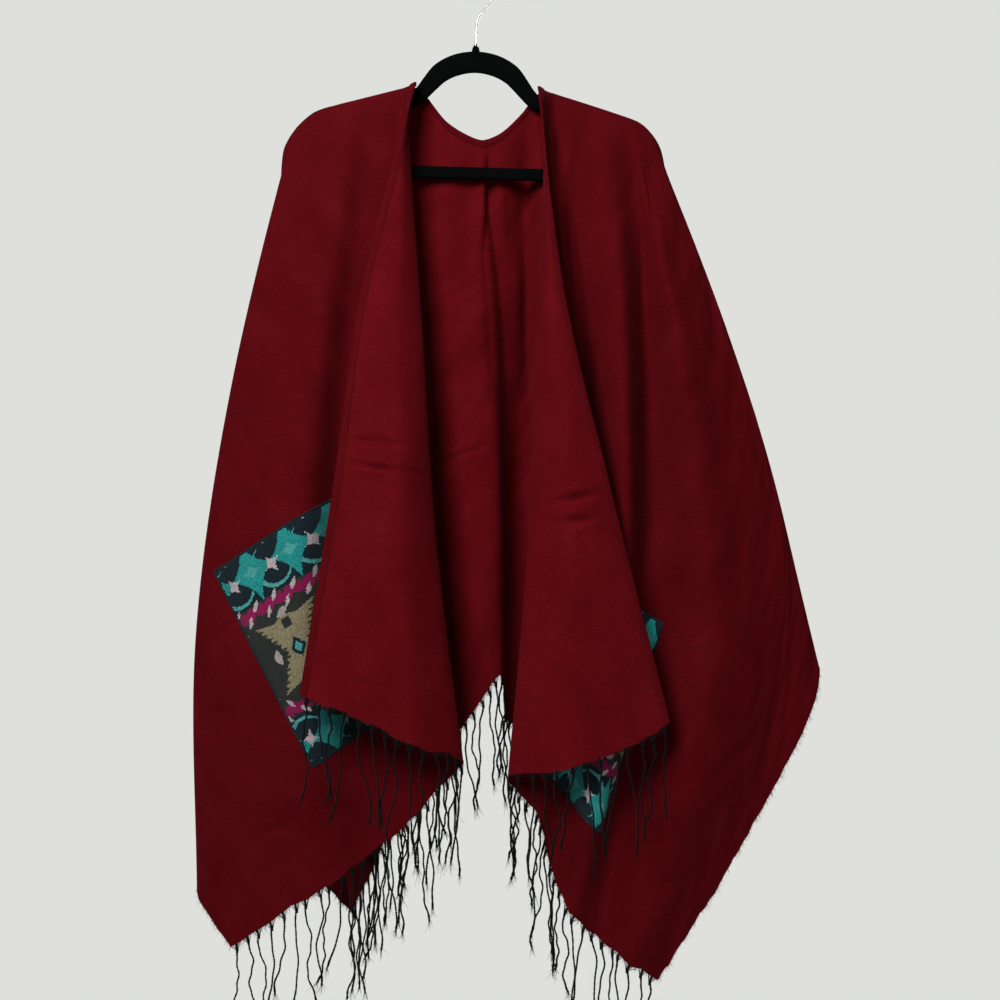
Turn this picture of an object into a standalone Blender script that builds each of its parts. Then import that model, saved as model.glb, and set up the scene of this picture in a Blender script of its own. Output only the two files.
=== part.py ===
"""Open-front Andean poncho, a ruana, hung on a velvet hanger. Metres, +Z up, viewer towards -Y.

The origin is the inside top of the hanger's hook, where the whole thing is held up.
One rectangle of brushed cloth has a slit from the middle of its front hem to just behind the
neck. It hangs over the hanger's arms, and both front edges are turned back outward as lapels.
Each stretch of cloth is lofted through its fold lines: a table has a row for each fold line,
from the top edge down over the chest and hip heights to the lower edge.
"""

import math

import bmesh
import bpy
import numpy as np
from mathutils import Matrix, Vector

# Driving sizes, metres
CLOTH_WALL = 0.0025
SEAM_GAP = 0.0003
BROW_RADIUS = 0.008  # cloth centre line over a hanger arm
NECKLINE_SET_BACK = 0.009  # the neckline hangs behind the hanger
ON_ARM = 0.0006  # a top edge set back by less than this lies on the arm
NECKLINE_TURN = 0.001  # within this reach of an arm's neck end it is fully set back
NECKLINE_BROW = 0.012
FRINGE_PITCH = 0.0182
# Between the cloth's edge and the strip that carries the cords; more where the folds are sharp
FRINGE_GAP = {"fringe_front_left": 0.0006, "fringe_front_right": 0.0006, "fringe_back": 0.0015}
LEAST_SLANT = 0.25  # limits how far the strip is moved down where the hem runs steeply
FRINGE_APART = 0.0046  # least distance between two cords, seen from above
FRINGE_LENGTH = 0.130
FRINGE_STRIP = 0.003
FRINGE_STRIP_WALL = 0.0016
FRINGE_CORD = 0.0021
FRINGE_ROOT = 0.008  # a root is this wide, and tapers to a cord over the same length
FRINGE_SWAY = 0.004
FRINGE_UNEVEN = 0.06  # cords differ in length by this share
# Rings of a cord below its root: share of the length down, of the sway, and of the width
CORD_COLUMNS = ("down", "sway", "width")
CORD_RINGS = ((0.06, 0.0, 1.0), (0.60, 1.0, 1.0), (1.00, 0.4, 1.25))
POCKET_WALL = 0.0016
POCKET_CUT = 0.2  # half the depth of the block that cuts a pocket's outline
ROWS_BELOW_BROW = 4  # surface rows between two of a fold line's stations
IN_PLEAT = ("return", "pleat")  # first words of the fold lines that lie inside a side pleat
NEAR_FOLD = 0.20  # surface columns lie this share of the way from a fold line to the next
CORNER_START = 0.72  # share of the length below which a corner of the cloth turns sharp

HOOK_RADIUS = 0.026
HOOK_WIRE = 0.0014
HOOK_ARC = (-40, 201, 15)  # degrees round the crook: first, last and step
HANGER_DEPTH = 0.008
HANGER_SIDES = 8

# Top edge of the cloth along each hanger arm: z = neck_z - fall * d - sag * d ** 2, where d is
# the distance from neck_x; past the shoulder it also droops by droop * (d - shoulder) ** 3
ARM_COLUMNS = ("neck_x", "neck_z", "fall", "sag", "shoulder", "droop")
ARMS = {
    "left": (-0.0745, -0.1478, 0.245, 0.05, 0.108, 232.0),
    "right": (0.080, -0.1530, 0.290, 0.25, 0.115, 580.0),
}
# How far further forward the lapel's lines leave the brow, so that it rolls without a crease
LAPEL_LIFT = {"free_edge": 0.020, "lapel_outer": 0.015, "lapel_inner": 0.009, "roll": 0.003}
# The neckline behind: a rounded V
NECKLINE_X = 0.008
NECKLINE_Z = -0.2146
NECKLINE_ROUND = 0.060
NECKLINE_SLOPE = {"left": 1.60, "right": 1.75}

# One row for each fold line. top_x: where it leaves the top edge; turn: degrees that it leaves
# the arm away from straight forward (front) or straight back (back); chest and hip: at a third
# and two thirds of the way down; hem: its lower end.
FOLD_COLUMNS = ("fold", "top_x", "turn", "chest_x", "chest_y", "hip_x", "hip_y", "hem_x", "hem_y", "hem_z")
LEFT_FRONT = (
    ("free_edge", -0.0745, 0, -0.138, -0.045, -0.171, -0.075, -0.209, -0.092, -0.909),
    ("lapel_outer", -0.0785, 0, -0.110, -0.052, -0.123, -0.084, -0.145, -0.104, -0.933),
    ("lapel_inner", -0.083, 0, -0.089, -0.051, -0.083, -0.085, -0.068, -0.103, -0.970),
    ("roll", -0.088, 0, -0.067, -0.029, -0.048, -0.046, -0.014, -0.060, -0.995),
    ("roll_back", -0.095, 0, -0.082, -0.018, -0.068, -0.031, -0.038, -0.044, -1.024),
    ("under_lapel", -0.110, 0, -0.118, -0.012, -0.118, -0.022, -0.087, -0.034, -1.080),
    ("trough", -0.130, 0, -0.161, -0.008, -0.172, -0.014, -0.133, -0.032, -1.118),
    ("ridge", -0.153, 0, -0.194, -0.033, -0.212, -0.045, -0.184, -0.054, -1.151),
    ("shallow", -0.176, 0, -0.240, -0.026, -0.273, -0.036, -0.241, -0.046, -1.188),
    ("corner", -0.203, 10, -0.284, -0.016, -0.328, -0.024, -0.303, -0.036, -1.230),
    ("side_fold", -0.220, 40, -0.307, -0.003, -0.352, -0.006, -0.351, -0.006, -1.161),
    ("return", -0.226, 58, -0.279, 0.007, -0.310, 0.011, -0.274, 0.014, -1.110),
    ("pleat_lip", -0.230, 72, -0.252, 0.012, -0.244, 0.014, -0.236, 0.016, -0.765),
    ("pleat", -0.233, 90, -0.246, 0.017, -0.237, 0.019, -0.229, 0.022, -0.751),
)
RIGHT_FRONT = (
    ("free_edge", 0.080, 0, 0.112, -0.057, 0.173, -0.066, 0.238, -0.080, -0.944),
    ("lapel_outer", 0.084, 0, 0.099, -0.060, 0.144, -0.076, 0.186, -0.094, -0.972),
    ("lapel_inner", 0.088, 0, 0.090, -0.055, 0.112, -0.077, 0.114, -0.096, -0.997),
    ("roll", 0.094, 0, 0.077, -0.030, 0.067, -0.044, 0.042, -0.056, -1.016),
    ("roll_back", 0.099, 0, 0.087, -0.020, 0.088, -0.029, 0.052, -0.042, -1.033),
    ("under_lapel", 0.108, 0, 0.104, -0.012, 0.120, -0.020, 0.079, -0.034, -1.067),
    ("trough", 0.125, 0, 0.138, 0.000, 0.158, -0.008, 0.096, -0.022, -1.135),
    ("ridge_inner", 0.166, 0, 0.186, -0.044, 0.181, -0.048, 0.121, -0.048, -1.187),
    ("valley", 0.194, 0, 0.220, 0.000, 0.211, -0.010, 0.156, -0.024, -1.222),
    ("ridge_outer", 0.200, 0, 0.263, -0.040, 0.284, -0.052, 0.193, -0.056, -1.246),
    ("corner", 0.204, 10, 0.301, -0.026, 0.330, -0.040, 0.227, -0.040, -1.269),
    ("side_edge", 0.207, 22, 0.318, -0.012, 0.387, -0.020, 0.334, -0.026, -1.107),
    ("side_fold", 0.214, 40, 0.308, -0.003, 0.377, -0.006, 0.434, -0.008, -0.883),
    ("return", 0.220, 58, 0.288, 0.007, 0.343, 0.011, 0.373, 0.014, -0.854),
    ("pleat_lip", 0.223, 72, 0.266, 0.012, 0.300, 0.014, 0.304, 0.016, -0.765),
    ("pleat", 0.226, 90, 0.260, 0.017, 0.293, 0.019, 0.297, 0.022, -0.751),
)
BACK = (
    ("pleat_left", -0.233, 90, -0.246, 0.017, -0.237, 0.019, -0.229, 0.022, -0.751),
    ("pleat_lip_left", -0.230, 72, -0.252, 0.023, -0.244, 0.026, -0.236, 0.028, -0.765),
    ("return_left", -0.226, 58, -0.276, 0.027, -0.290, 0.031, -0.242, 0.033, -1.012),
    ("side_left", -0.220, 40, -0.290, 0.038, -0.314, 0.045, -0.264, 0.047, -1.084),
    ("corner_left", -0.198, 10, -0.243, 0.048, -0.230, 0.060, -0.163, 0.060, -1.214),
    ("fold_1", -0.172, 0, -0.203, 0.010, -0.190, 0.006, -0.150, 0.012, -1.180),
    ("fold_2", -0.155, 0, -0.184, 0.048, -0.169, 0.058, -0.134, 0.060, -1.156),
    ("fold_3", -0.138, 0, -0.157, 0.010, -0.142, 0.006, -0.121, 0.012, -1.120),
    ("fold_4", -0.114, 0, -0.135, 0.048, -0.120, 0.058, -0.107, 0.062, -1.092),
    ("fold_5", -0.092, 0, -0.104, 0.010, -0.088, 0.006, -0.080, 0.006, -1.044),
    ("fold_6", -0.0735, 0, -0.077, 0.036, -0.062, 0.048, -0.054, 0.054, -1.009),
    ("middle_ridge", -0.034, 0, -0.022, 0.014, -0.009, 0.014, -0.004, 0.014, -0.948),
    ("middle_slope", 0.006, 0, 0.018, 0.014, 0.028, 0.014, 0.031, 0.018, -0.899),
    ("middle_valley", 0.016, 0, 0.038, 0.042, 0.045, 0.052, 0.045, 0.056, -0.968),
    ("stripe", 0.034, 0, 0.058, 0.056, 0.062, 0.062, 0.064, 0.064, -0.962),
    ("fold_7", 0.060, 0, 0.076, 0.058, 0.084, 0.064, 0.090, 0.064, -0.966),
    ("fold_8", 0.079, 0, 0.099, 0.014, 0.112, 0.008, 0.124, 0.006, -0.990),
    ("fold_9", 0.094, 0, 0.120, 0.048, 0.137, 0.058, 0.155, 0.062, -1.026),
    ("fold_10", 0.114, 0, 0.146, 0.010, 0.161, 0.006, 0.183, 0.004, -1.050),
    ("fold_11", 0.138, 0, 0.172, 0.048, 0.190, 0.058, 0.211, 0.062, -1.078),
    ("fold_12", 0.156, 0, 0.198, 0.010, 0.220, 0.006, 0.240, 0.004, -1.100),
    ("corner_right", 0.174, 0, 0.232, 0.048, 0.258, 0.060, 0.277, 0.060, -1.105),
    ("side_right", 0.212, 40, 0.290, 0.038, 0.344, 0.045, 0.353, 0.048, -1.035),
    ("return_right", 0.220, 58, 0.276, 0.027, 0.316, 0.030, 0.324, 0.031, -0.922),
    ("pleat_lip_right", 0.223, 72, 0.266, 0.023, 0.300, 0.025, 0.304, 0.028, -0.765),
    ("pleat_right", 0.226, 90, 0.260, 0.017, 0.293, 0.019, 0.297, 0.022, -0.751),
)

FRONTS = {"front_left": LEFT_FRONT, "front_right": RIGHT_FRONT}

# Pocket corners on the front's outer face, as x and z
POCKET_COLUMNS = ("upper_outer", "lower_outer", "lower_inner", "upper_inner")
POCKETS = {
    "pocket_left": ((-0.327, -0.764), (-0.199, -1.004), (-0.080, -0.925), (-0.178, -0.670)),
    "pocket_right": ((0.238, -0.829), (0.155, -1.088), (0.082, -1.010), (0.135, -0.770)),
}

# Sizes across the velvet hanger, from the middle of its neck arc out and back along the bar
HANGER_COLUMNS = ("x", "z", "height")
HANGER_HALF = (
    (0.000, -0.1180, 0.0265),
    (0.024, -0.1218, 0.0265),
    (0.044, -0.1320, 0.0250),
    (0.057, -0.1458, 0.0215),
    (0.066, -0.1568, 0.0190),
    (0.075, -0.1655, 0.0180),
    (0.086, -0.1698, 0.0175),
    (0.120, -0.1765, 0.0175),
    (0.160, -0.1862, 0.0165),
    (0.192, -0.1935, 0.0140),
    (0.203, -0.2020, 0.0120),
    (0.194, -0.2145, 0.0120),
    (0.172, -0.2330, 0.0130),
    (0.145, -0.2500, 0.0140),
    (0.110, -0.2575, 0.0150),
    (0.055, -0.2590, 0.0150),
)
HANGER_TILT = 0.028  # radians, its right arm hangs lower
HANGER_PIVOT_Z = -0.17
SOCKET_X = 0.001
SOCKET_Z = -0.0985  # its top
SOCKET_HEIGHT = 0.012
SOCKET_FOOT = 0.0065
SOCKET_TOP = 0.0036
# The hook's wire below its crook, as x and z, from just above the socket
HOOK_STEM = (
    (SOCKET_X, SOCKET_Z + SEAM_GAP),
    (0.0018, -0.0800),
    (0.0030, -0.0660),
    (0.0052, -0.0600),
    (0.0120, -0.0510),
)

MATERIAL_COLUMNS = ("name", "colour", "roughness", "metallic")
MATERIALS = {
    "cloth": ("burgundy_cloth", (0.145, 0.012, 0.022), 0.95, 0.0),
    "cords": ("black_fringe", (0.012, 0.010, 0.012), 0.90, 0.0),
    "woven": ("woven_pocket", (0.060, 0.190, 0.200), 0.95, 0.0),
    "velvet": ("black_velvet", (0.016, 0.016, 0.018), 0.90, 0.0),
    "chrome": ("chrome", (0.80, 0.80, 0.82), 0.12, 1.0),
}


def material(row):
    look = dict(zip(MATERIAL_COLUMNS, row))
    made = bpy.data.materials.new(look["name"])
    made.use_nodes = True
    shader = made.node_tree.nodes["Principled BSDF"]
    shader.inputs["Base Color"].default_value = (*look["colour"], 1.0)
    shader.inputs["Roughness"].default_value = look["roughness"]
    shader.inputs["Metallic"].default_value = look["metallic"]
    return made


def add_object(name, mesh, surface):
    made = bpy.data.objects.new(name, mesh)
    made.data.materials.append(surface)
    bpy.context.scene.collection.objects.link(made)
    return made


# ---------------------------------------------------------------- fold lines and surfaces


def top_point(top_x):
    """Point of the cloth's top edge at top_x, and whether it lies on a hanger arm."""
    side = "left" if top_x < NECKLINE_X else "right"
    arm = dict(zip(ARM_COLUMNS, ARMS[side]))
    reach = abs(top_x - arm["neck_x"])
    if abs(top_x) >= abs(arm["neck_x"]):
        past_shoulder = max(0.0, reach - arm["shoulder"])
        fallen = arm["fall"] * reach + arm["sag"] * reach ** 2 + arm["droop"] * past_shoulder ** 3
        return np.array((top_x, 0.0, arm["neck_z"] - fallen)), True
    rise = math.hypot(top_x - NECKLINE_X, NECKLINE_ROUND) - NECKLINE_ROUND
    z = NECKLINE_Z + NECKLINE_SLOPE[side] * rise
    set_back = NECKLINE_SET_BACK * min(1.0, reach / NECKLINE_TURN)
    return np.array((top_x, set_back, z)), False


def fold_line(row, towards):
    """The stations of one fold line: a lead-in point, then top, brow, chest, hip and hem.

    towards is -1 for cloth that leaves the arm forward and +1 for cloth that leaves it backward.
    """
    fold = dict(zip(FOLD_COLUMNS, row))
    top, on_arm = top_point(fold["top_x"])
    turn = math.radians(fold["turn"])
    outward = math.copysign(math.sin(turn), fold["top_x"])
    leave = np.array((outward, towards * math.cos(turn), 0.0))
    if on_arm:
        down = np.array((0.0, 0.0, -BROW_RADIUS))
        brow = top + leave * (BROW_RADIUS + LAPEL_LIFT.get(fold["fold"], 0.0)) + down
        lead_in = top - leave * BROW_RADIUS + down
    else:
        brow = top + np.array((0.0, 0.002, -NECKLINE_BROW))
        lead_in = 2 * top - brow
    drop = fold["hem_z"] - brow[2]
    chest = np.array((fold["chest_x"], fold["chest_y"], brow[2] + drop / 3))
    hip = np.array((fold["hip_x"], fold["hip_y"], brow[2] + drop * 2 / 3))
    hem = np.array((fold["hem_x"], fold["hem_y"], fold["hem_z"]))
    return np.array((lead_in, top, brow, chest, hip, hem, 2 * hem - hip))


def knots(points):
    """Centripetal spacing along the first axis of an array of points."""
    steps = np.sqrt(np.linalg.norm(np.diff(points, axis=0), axis=-1))
    return np.concatenate((np.zeros((1,) + steps.shape[1:]), np.cumsum(np.maximum(steps, 1e-6), axis=0)))


def curve_points(points, segment, share, slack=None):
    """Point of the smooth curve through points, share of the way along one segment.

    points has shape (n, ..., 3). slack, one value for each point, lets its tangent go to nothing.
    """
    t = knots(points)
    i = segment

    def tangent(k):
        before = (points[k] - points[k - 1]) / (t[k] - t[k - 1])[..., None]
        after = (points[k + 1] - points[k]) / (t[k + 1] - t[k])[..., None]
        whole = (points[k + 1] - points[k - 1]) / (t[k + 1] - t[k - 1])[..., None]
        result = before - whole + after
        return result if slack is None else result * (1 - slack[k])[..., None]

    length = (t[i + 1] - t[i])[..., None]
    s = share
    start = (2 * s ** 3 - 3 * s ** 2 + 1) * points[i] + (s ** 3 - 2 * s ** 2 + s) * length * tangent(i)
    end = (3 * s ** 2 - 2 * s ** 3) * points[i + 1] + (s ** 3 - s ** 2) * length * tangent(i + 1)
    return start + end


def length_stations():
    """Where surface rows lie along a fold line, as (segment, share) pairs, top to hem."""
    stations = [(1, 0.0), (1, 0.5)]
    for segment in (2, 3, 4):
        stations += [(segment, k / ROWS_BELOW_BROW) for k in range(ROWS_BELOW_BROW)]
    return stations + [(4, 1.0)]


def width_stations(rows):
    """Where surface columns lie across the fold lines, as (segment, share) pairs.

    They lie just beside most fold lines, so that folds are round, and on those of ends, corners
    and pleats.
    """
    kinds = [row[0].split("_")[0] for row in rows]
    stations = [(1, 0.0)]
    for segment in range(1, len(rows)):
        if kinds[segment - 1] not in IN_PLEAT:
            stations.append((segment, NEAR_FOLD))
        if kinds[segment] not in IN_PLEAT:
            stations.append((segment, 1 - NEAR_FOLD))
        if kinds[segment] in IN_PLEAT + ("corner",) or segment == len(rows) - 1:
            stations.append((segment, 1.0))
    return stations


def column_at(rows, name):
    """Index of the surface column that lies on a fold line, or just before it."""
    number = [row[0] for row in rows].index(name)
    reached = [k for k, (segment, share) in enumerate(width_stations(rows)) if segment <= number]
    return reached[-1]


def surface(rows, towards, before, after):
    """Grid of points [row down the length][column across the folds] of one stretch of cloth.

    before and after are the fold lines that carry on past the first and the last one.
    """
    lines = [before] + [fold_line(row, towards) for row in rows] + [after]
    stations = length_stations()
    down = np.array([[curve_points(line, *station) for station in stations] for line in lines])
    share_down = np.array([(segment - 2 + share) / 3 for segment, share in stations])
    sharp = np.clip((share_down - CORNER_START) / (1 - CORNER_START), 0, 1) ** 2
    slack = np.zeros(down.shape[:2])
    for k, row in enumerate(rows):
        if row[0].startswith("corner"):
            slack[k + 1] = sharp
    columns = [curve_points(down, *station, slack) for station in width_stations(rows)]
    return np.array(columns).transpose(1, 0, 2)


def past(row, towards, neighbour):
    """A fold line mirrored from neighbour through row, to end a free edge straight."""
    return 2 * fold_line(row, towards) - fold_line(neighbour, towards)


def unit(vectors):
    return vectors / np.maximum(np.linalg.norm(vectors, axis=-1, keepdims=True), 1e-9)


def directions(grid, axis):
    """Sum of the unit steps that meet at each point along one axis of a grid of points."""
    steps = unit(np.diff(grid, axis=axis))
    first = np.take(steps, [0], axis=axis)
    last = np.take(steps, [-1], axis=axis)
    return np.concatenate((first, steps), axis=axis) + np.concatenate((steps, last), axis=axis)


def outward_normals(grid, way=1):
    """Normals of a grid on the garment's outer face; way is -1 where its columns run backward."""
    return unit(np.cross(directions(grid, 1), directions(grid, 0))) * way


def part_at_shoulder(grid, normals, towards):
    """Keep half the seam gap between front and back where both lie on the hanger arms."""
    for column in range(grid.shape[1]):
        x, y = grid[0, column, :2]
        arm = dict(zip(ARM_COLUMNS, ARMS["left" if x < 0 else "right"]))
        if abs(x) < abs(arm["neck_x"]) - SEAM_GAP or y > ON_ARM:
            continue
        grid[0, column, 1] = towards * SEAM_GAP / 2
        reach = abs(x - arm["neck_x"])
        past_shoulder = max(0.0, reach - arm["shoulder"])
        slope = arm["fall"] + 2 * arm["sag"] * reach + 3 * arm["droop"] * past_shoulder ** 2
        normals[0, column] = unit(np.array((math.copysign(slope, x), 0.0, 1.0)))


def part_at_pleat(grid, column, towards):
    """Move the column at the nose of a side pleat a seam gap forward or backward."""
    grid[:, column, 1] += towards * SEAM_GAP


def wall(name, grid, normals, thickness, surface_material):
    """Closed wall of the given thickness about a grid; both faces split along the same diagonals."""
    rows, columns = grid.shape[:2]
    bm = bmesh.new()
    sides = []
    for offset in (thickness / 2, -thickness / 2):
        points = grid + normals * offset
        sides.append([[bm.verts.new(p) for p in line] for line in points])
    outer, inner = sides
    for r in range(rows - 1):
        for c in range(columns - 1):
            falling = np.linalg.norm(grid[r, c] - grid[r + 1, c + 1])
            rising = np.linalg.norm(grid[r, c + 1] - grid[r + 1, c])
            for side in sides:
                ring = (side[r][c], side[r][c + 1], side[r + 1][c + 1], side[r + 1][c])
                if rising < falling:
                    ring = ring[1:] + ring[:1]
                bm.faces.new((ring[0], ring[1], ring[2]))
                bm.faces.new((ring[0], ring[2], ring[3]))
    rim = [(0, c) for c in range(columns)] + [(r, columns - 1) for r in range(1, rows)]
    rim += [(rows - 1, c) for c in range(columns - 2, -1, -1)] + [(r, 0) for r in range(rows - 2, 0, -1)]
    for ends in zip(rim, rim[1:] + rim[:1]):
        (r0, c0), (r1, c1) = sorted(ends)
        bm.faces.new((outer[r0][c0], inner[r0][c0], inner[r1][c1]))
        bm.faces.new((outer[r0][c0], inner[r1][c1], outer[r1][c1]))
    bmesh.ops.recalc_face_normals(bm, faces=bm.faces)
    mesh = bpy.data.meshes.new(name)
    bm.to_mesh(mesh)
    bm.free()
    return add_object(name, mesh, surface_material)


def stretches():
    """The three stretches of cloth as grids of points and normals, by name."""
    beyond = {"front_left": fold_line(BACK[1], 1), "front_right": fold_line(BACK[-2], 1)}
    made = {}
    for name, rows in FRONTS.items():
        grid = surface(rows, -1, past(rows[0], -1, rows[1]), beyond[name])
        normals = outward_normals(grid, -1 if name == "front_right" else 1)
        made[name] = (grid, normals)
    before = fold_line(LEFT_FRONT[-2], -1)
    after = fold_line(RIGHT_FRONT[-2], -1)
    grid = surface(BACK, 1, before, after)
    made["back"] = (grid, outward_normals(grid))
    return made


def meet_at_pleat(made, front, back_column):
    """Front and back share one line inside the side pleat: give both the same normals there."""
    front_normals = made[front][1]
    back_normals = made["back"][1]
    mean = unit(front_normals[:, -1] + back_normals[:, back_column])
    back_normals[:, back_column] = mean
    front_normals[:, -1] = mean


# ---------------------------------------------------------------- fringe


def fringe(name, grid, normals, columns, surface_material):
    """A narrow strip just off the hem, and hanging cords fused to it along its lower edge."""
    edge = grid[-1, columns]
    lengths = np.linalg.norm(np.diff(edge, axis=0), axis=-1)
    reach = np.concatenate(([0.0], np.cumsum(lengths)))
    count = round(reach[-1] / FRINGE_PITCH)
    centres = (np.arange(count) + 0.5) * reach[-1] / count
    along = unit(directions(edge, 0))
    down = unit(edge - grid[-2, columns])
    slant = np.sum(down * along, axis=-1, keepdims=True)
    away = down / np.sqrt(np.maximum(1 - slant ** 2, LEAST_SLANT))
    face = normals[-1, columns] * FRINGE_STRIP_WALL / 2
    stations = []
    root_starts = []
    for c, length in enumerate(lengths):
        stations.append((c, 0.0))
        inside = centres[(centres >= reach[c]) & (centres < reach[c + 1])]
        half = min(FRINGE_ROOT / 2, length / (2.5 * max(1, len(inside))))
        for centre in inside:
            middle = min(max(centre - reach[c], 1.1 * half), length - 1.1 * half)
            root_starts.append(len(stations))
            stations += [(c, (middle - half) / length), (c, (middle + half) / length)]
    stations.append((len(edge) - 2, 1.0))

    def at(values, station):
        c, share = station
        return values[c] * (1 - share) + values[c + 1] * share

    bm = bmesh.new()
    rings = []
    for station in stations:
        middle = at(edge, station)
        out = at(away, station)
        half = at(face, station)
        top = middle + out * FRINGE_GAP[name]
        low = top + out * FRINGE_STRIP
        rings.append([bm.verts.new(p) for p in (top + half, top - half, low - half, low + half)])
    roots = []
    for number, (a, b) in enumerate(zip(rings, rings[1:])):
        for k in range(4):
            made = bm.faces.new((a[k], a[(k + 1) % 4], b[(k + 1) % 4], b[k]))
            if k == 2 and number in root_starts:
                roots.append(made)
    bm.faces.new(rings[0])
    bm.faces.new(list(reversed(rings[-1])))
    bmesh.ops.recalc_face_normals(bm, faces=bm.faces)
    hung = []
    for k, root in enumerate(roots):
        place = root.calc_center_median().xy
        if all((place - other).length > FRINGE_APART for other in hung):
            hung.append(place)
            hang_cord(bm, root, k)
    bmesh.ops.recalc_face_normals(bm, faces=bm.faces)
    bmesh.ops.triangulate(bm, faces=bm.faces)
    mesh = bpy.data.meshes.new(name)
    bm.to_mesh(mesh)
    bm.free()
    return add_object(name, mesh, surface_material)


def hang_cord(bm, root, number):
    """Gather one root face into a twisted cord that hangs straight down with a slight sway."""
    sway = FRINGE_SWAY * math.sin(number / 3)
    length = FRINGE_LENGTH * (1 + FRINGE_UNEVEN * math.sin(2 * number))
    start = root.calc_center_median()
    sides = [root.verts[0].co - root.verts[k].co for k in (1, 3)]
    across = max(sides, key=lambda edge: edge.length)
    heading = Vector((across.x, across.y, 0.0)).normalized()
    aside = Vector((-heading.y, heading.x, 0.0))
    face = root
    for row in CORD_RINGS:
        ring = dict(zip(CORD_COLUMNS, row))
        centre = start + Vector((sway * ring["sway"], 0.0, -length * ring["down"]))
        half = FRINGE_CORD * ring["width"] / 2
        corners = [
            centre + (heading * a + aside * b) * half for a, b in ((1, 1), (1, -1), (-1, -1), (-1, 1))
        ]
        face = bmesh.ops.extrude_discrete_faces(bm, faces=[face])["faces"][0]
        place_ring(face, corners)


def place_ring(face, corners):
    """Move a four-cornered face onto new corners, matched so that the ring doesn't twist."""
    old = [v.co.copy() for v in face.verts]
    middle = sum(old, Vector()) / 4
    target = sum(corners, Vector()) / 4

    def twist(order):
        pairs = zip(old, (corners[j] for j in order))
        return sum(((a - middle).normalized() - (b - target).normalized()).length for a, b in pairs)

    turns = [[(start + way * k) % 4 for k in range(4)] for start in range(4) for way in (1, -1)]
    for vert, j in zip(face.verts, min(turns, key=twist)):
        vert.co = corners[j]


# ---------------------------------------------------------------- pockets


def pocket(name, corners, front, rows, surface_material):
    """A patch on the front's outer face: a layer on the panel's own points, moved out and cut."""
    grid, normals = front
    covered = slice(column_at(rows, "roll"), column_at(rows, "side_fold") + 1)
    lift = CLOTH_WALL / 2 + SEAM_GAP + POCKET_WALL / 2
    layer = grid[:, covered] + normals[:, covered] * lift
    patch = wall(name, layer, normals[:, covered], POCKET_WALL, surface_material)
    outline = bmesh.new()
    near = [outline.verts.new((x, -POCKET_CUT, z)) for x, z in corners]
    outline.faces.new(near)
    made = bmesh.ops.extrude_face_region(outline, geom=outline.faces[:])
    moved = [item for item in made["geom"] if isinstance(item, bmesh.types.BMVert)]
    bmesh.ops.translate(outline, verts=moved, vec=(0.0, 2 * POCKET_CUT, 0.0))
    bmesh.ops.recalc_face_normals(outline, faces=outline.faces)
    mesh = bpy.data.meshes.new(name + "_outline")
    outline.to_mesh(mesh)
    outline.free()
    cutter = add_cutter(name + "_outline", mesh)
    combine(patch, cutter, "INTERSECT")
    return patch


def add_cutter(name, mesh):
    made = bpy.data.objects.new(name, mesh)
    made.hide_render = True
    made.display_type = "WIRE"
    bpy.context.scene.collection.objects.link(made)
    return made


def combine(target, tool, operation):
    step = target.modifiers.new(operation.lower(), "BOOLEAN")
    step.operation = operation
    step.solver = "EXACT"
    step.object = tool


# ---------------------------------------------------------------- hanger and hook


def hanger(surface_material):
    """Flat velvet hanger: one closed loop of arms, neck arc and bar, with rounded edges."""
    half = [dict(zip(HANGER_COLUMNS, row)) for row in HANGER_HALF]
    bottom = {"x": 0.0, "z": half[-1]["z"], "height": half[-1]["height"]}
    mirrored = [{**row, "x": -row["x"]} for row in reversed(half[1:])]
    loop = half + [bottom] + mirrored
    points = np.array([(row["x"], 0.0, row["z"]) for row in loop])
    heights = np.array([row["height"] for row in loop])
    ahead = unit(np.roll(points, -1, axis=0) - np.roll(points, 1, axis=0))
    across = np.cross(ahead, (0.0, 1.0, 0.0))
    half_turn = math.pi / HANGER_SIDES
    bm = bmesh.new()
    rings = []
    for point, side, height in zip(points, across, heights):
        ring = []
        for k in range(HANGER_SIDES):
            angle = half_turn * (1 + 2 * k)
            offset = side * math.cos(angle) * height / 2 / math.cos(half_turn)
            depth = math.sin(angle) * HANGER_DEPTH / 2 / math.cos(half_turn)
            ring.append(bm.verts.new(point + offset + np.array((0.0, depth, 0.0))))
        rings.append(ring)
    for a, b in zip(rings, rings[1:] + rings[:1]):
        for k in range(HANGER_SIDES):
            after = (k + 1) % HANGER_SIDES
            bm.faces.new((a[k], a[after], b[after], b[k]))
    bmesh.ops.recalc_face_normals(bm, faces=bm.faces)
    bmesh.ops.triangulate(bm, faces=bm.faces)
    mesh = bpy.data.meshes.new("hanger")
    bm.to_mesh(mesh)
    bm.free()
    made = add_object("hanger", mesh, surface_material)
    pivot = Matrix.Translation((0.0, 0.0, HANGER_PIVOT_Z))
    mesh.transform(pivot @ Matrix.Rotation(HANGER_TILT, 4, "Y") @ pivot.inverted())
    combine(made, socket(), "UNION")
    return made


def socket():
    """Short cone on top of the neck arc that grips the hook."""
    bm = bmesh.new()
    bmesh.ops.create_cone(
        bm, cap_ends=True, segments=12, radius1=SOCKET_FOOT, radius2=SOCKET_TOP, depth=SOCKET_HEIGHT
    )
    bmesh.ops.translate(bm, verts=bm.verts, vec=(SOCKET_X, 0.0, SOCKET_Z - SOCKET_HEIGHT / 2))
    mesh = bpy.data.meshes.new("socket")
    bm.to_mesh(mesh)
    bm.free()
    return add_cutter("socket", mesh)


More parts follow.
